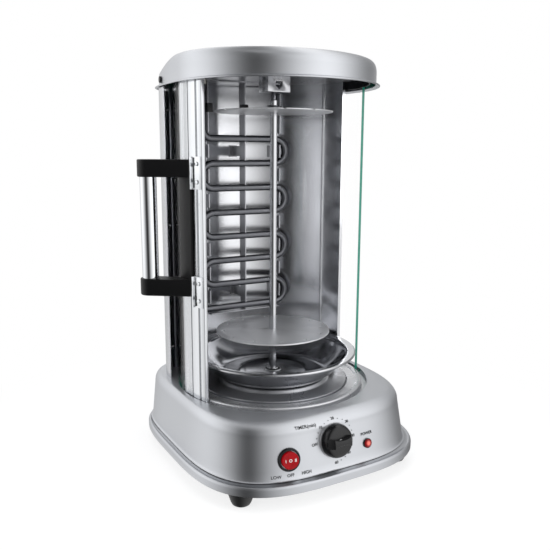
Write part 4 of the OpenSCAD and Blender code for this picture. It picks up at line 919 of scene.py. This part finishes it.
def makeWorld():
    # the backdrop is white where it is seen, straight or through glass; shiny pieces reflect a studio of
    # soft boxes with dark gaps between them. The boxes are given by the way a wall has to face to show them,
    # in degrees to the right of a fixed side, so that a wall and the bend over it show them in one line
    room = {"boxes": ((-90, 0.85), (-79, 0.8), (-68, 0.95), (-60, 1.25), (-54, 1.5), (-48, 1.68), (-43, 1.62),
                      (-37, 1.42), (-32, 1.15), (-27, 0.82), (-22, 0.5), (-17, 0.22), (-12, 0.05), (-6, 0.05),
                      (-1, 0.25), (4, 0.6), (9, 0.93), (14, 1.25), (19, 1.55), (24, 1.78), (29, 1.85),
                      (34, 1.75), (39, 1.45), (44, 1.08), (49, 0.82), (55, 0.5), (61, 0.35), (68, 0.35),
                      (76, 0.6), (90, 0.85)),
            "side": -29.72, "brightest": 2.0, "above": 0.55, "below": 0.75, "fill": 0.6}
    world = bpy.data.worlds.new("studio")
    bpy.context.scene.world = world
    world.use_nodes = True
    tree = world.node_tree
    tree.nodes.clear()
    side = math.radians(room["side"])
    where = addNode(tree, "ShaderNodeTexCoord")
    facing = addNode(tree, "ShaderNodeVectorMath", {"operation": "ADD"},
                     {1: (math.sin(side), -math.cos(side), 0)}, {0: where.outputs["Generated"]})
    turned = addNode(tree, "ShaderNodeMapping", inputs={"Rotation": (0, 0, -side)},
                     links={"Vector": facing.outputs[0]})
    axes = addNode(tree, "ShaderNodeSeparateXYZ", links={0: turned.outputs[0]})
    ahead = addNode(tree, "ShaderNodeMath", {"operation": "MULTIPLY"}, {1: -1.0}, {0: axes.outputs["Y"]})
    azimuth = addNode(tree, "ShaderNodeMath", {"operation": "ARCTAN2"},
                      links={0: axes.outputs["X"], 1: ahead.outputs[0]})
    share = addNode(tree, "ShaderNodeMath", {"operation": "MULTIPLY_ADD"}, {1: 1 / math.pi, 2: 0.5},
                    {0: azimuth.outputs[0]})
    boxes = addNode(tree, "ShaderNodeValToRGB", links={0: share.outputs[0]})
    stops = boxes.color_ramp.elements
    for i, (angle, value) in enumerate(room["boxes"]):
        place = angle / 180 + 0.5
        stop = stops[0] if i == 0 else stops[-1] if i == len(room["boxes"]) - 1 else stops.new(place)
        stop.position = place
        stop.color = (value / room["brightest"],) * 3 + (1,)      # a ramp holds no more than 1
    height = addNode(tree, "ShaderNodeSeparateXYZ", links={0: where.outputs["Generated"]})
    up = addNode(tree, "ShaderNodeMapRange", {"interpolation_type": "SMOOTHSTEP"},
                 {"From Min": 0.93, "From Max": 1.0}, {"Value": height.outputs["Z"]})
    high = addNode(tree, "ShaderNodeMix", {"data_type": "RGBA"},
                   {7: (room["above"] / room["brightest"],) * 3 + (1,)},
                   {0: up.outputs["Result"], 6: boxes.outputs["Color"]})
    down = addNode(tree, "ShaderNodeMapRange", {"interpolation_type": "SMOOTHSTEP"},
                   {"From Min": -0.3, "From Max": 0.12, "To Min": room["brightest"] * room["below"],
                    "To Max": room["brightest"]}, {"Value": height.outputs["Z"]})
    ray = addNode(tree, "ShaderNodeLightPath")
    seen = addNode(tree, "ShaderNodeMath", {"operation": "MAXIMUM"},
                   links={0: ray.outputs["Is Camera Ray"], 1: ray.outputs["Is Transmission Ray"]})
    white = addNode(tree, "ShaderNodeBackground", inputs={"Color": (1, 1, 1, 1), "Strength": 1.0})
    fill = addNode(tree, "ShaderNodeBackground",
                   inputs={"Color": toLinear("#f1f3f6"), "Strength": room["fill"]})
    studio = addNode(tree, "ShaderNodeBackground",
                     links={"Color": high.outputs[2], "Strength": down.outputs["Result"]})
    lit = addNode(tree, "ShaderNodeMixShader",
                  links={0: ray.outputs["Is Glossy Ray"], 1: fill.outputs[0], 2: studio.outputs[0]})
    mix = addNode(tree, "ShaderNodeMixShader",
                  links={0: seen.outputs[0], 1: lit.outputs[0], 2: white.outputs[0]})
    addNode(tree, "ShaderNodeOutputWorld", links={"Surface": mix.outputs[0]})


def makeLamps():
    # soft boxes for the shadow and the matt pieces; the shiny ones take the world's studio instead.
    # Places and sizes are in metres, power in watts
    for name, place, size, power in (("leftBox", (-1.3, -0.5, 0.75), (0.9, 1.3), 9),
                                     ("rightBox", (0.95, -1.25, 0.7), (0.9, 1.2), 9),
                                     ("topBox", (-0.1, -0.2, 1.7), (1.3, 1.3), 10)):
        data = bpy.data.lights.new(name, "AREA")
        data.shape, data.size, data.size_y, data.energy = "RECTANGLE", size[0], size[1], power
        lamp = bpy.data.objects.new(name, data)
        bpy.context.collection.objects.link(lamp)
        lamp.visible_glossy = False
        aim = Vector((0, 0, 0.2)) - Vector(place)
        lamp.matrix_world = Matrix.Translation(place) @ aim.to_track_quat("-Z", "Y").to_matrix().to_4x4()


def makeGround():
    # pale sweep: matt near the grill, where it takes the shadow, and lit to pure white further off
    sweep = {"size": 6, "tone": 0.3, "glow": 0.76, "near": 0.2, "far": 0.42}      # lengths in metres
    bm = bmesh.new()
    bmesh.ops.create_grid(bm, x_segments=1, y_segments=1, size=sweep["size"])
    mesh = bpy.data.meshes.new("floor")
    bm.to_mesh(mesh)
    bm.free()
    ground = bpy.data.objects.new("floor", mesh)
    bpy.context.collection.objects.link(ground)
    ground.visible_glossy = False
    material, tree, shader = newMaterial("paleSweep", {"Base Color": (sweep["tone"],) * 3 + (1,),
                                                       "Roughness": 0.8, "Specular IOR Level": 0.0,
                                                       "Emission Strength": sweep["glow"],
                                                       "Emission Color": (1, 1, 1, 1)})
    where = addNode(tree, "ShaderNodeTexCoord")
    far = addNode(tree, "ShaderNodeVectorMath", {"operation": "LENGTH"}, links={0: where.outputs["Object"]})
    fade = addNode(tree, "ShaderNodeMapRange", {"interpolation_type": "SMOOTHSTEP"},
                   {"From Min": sweep["near"], "From Max": sweep["far"]}, {"Value": far.outputs["Value"]})
    white = addNode(tree, "ShaderNodeEmission", inputs={"Color": (1, 1, 1, 1), "Strength": 1.0})
    mix = addNode(tree, "ShaderNodeMixShader", links={0: fade.outputs["Result"], 1: shader.outputs["BSDF"],
                                                     2: white.outputs["Emission"]})
    output = next(node for node in tree.nodes if node.type == "OUTPUT_MATERIAL")
    tree.links.new(mix.outputs["Shader"], output.inputs["Surface"])
    mesh.materials.append(material)


print("studio")
makeCamera()
makeWorld()
makeLamps()
makeGround()
bpy.context.scene.view_settings.view_transform = "Standard"
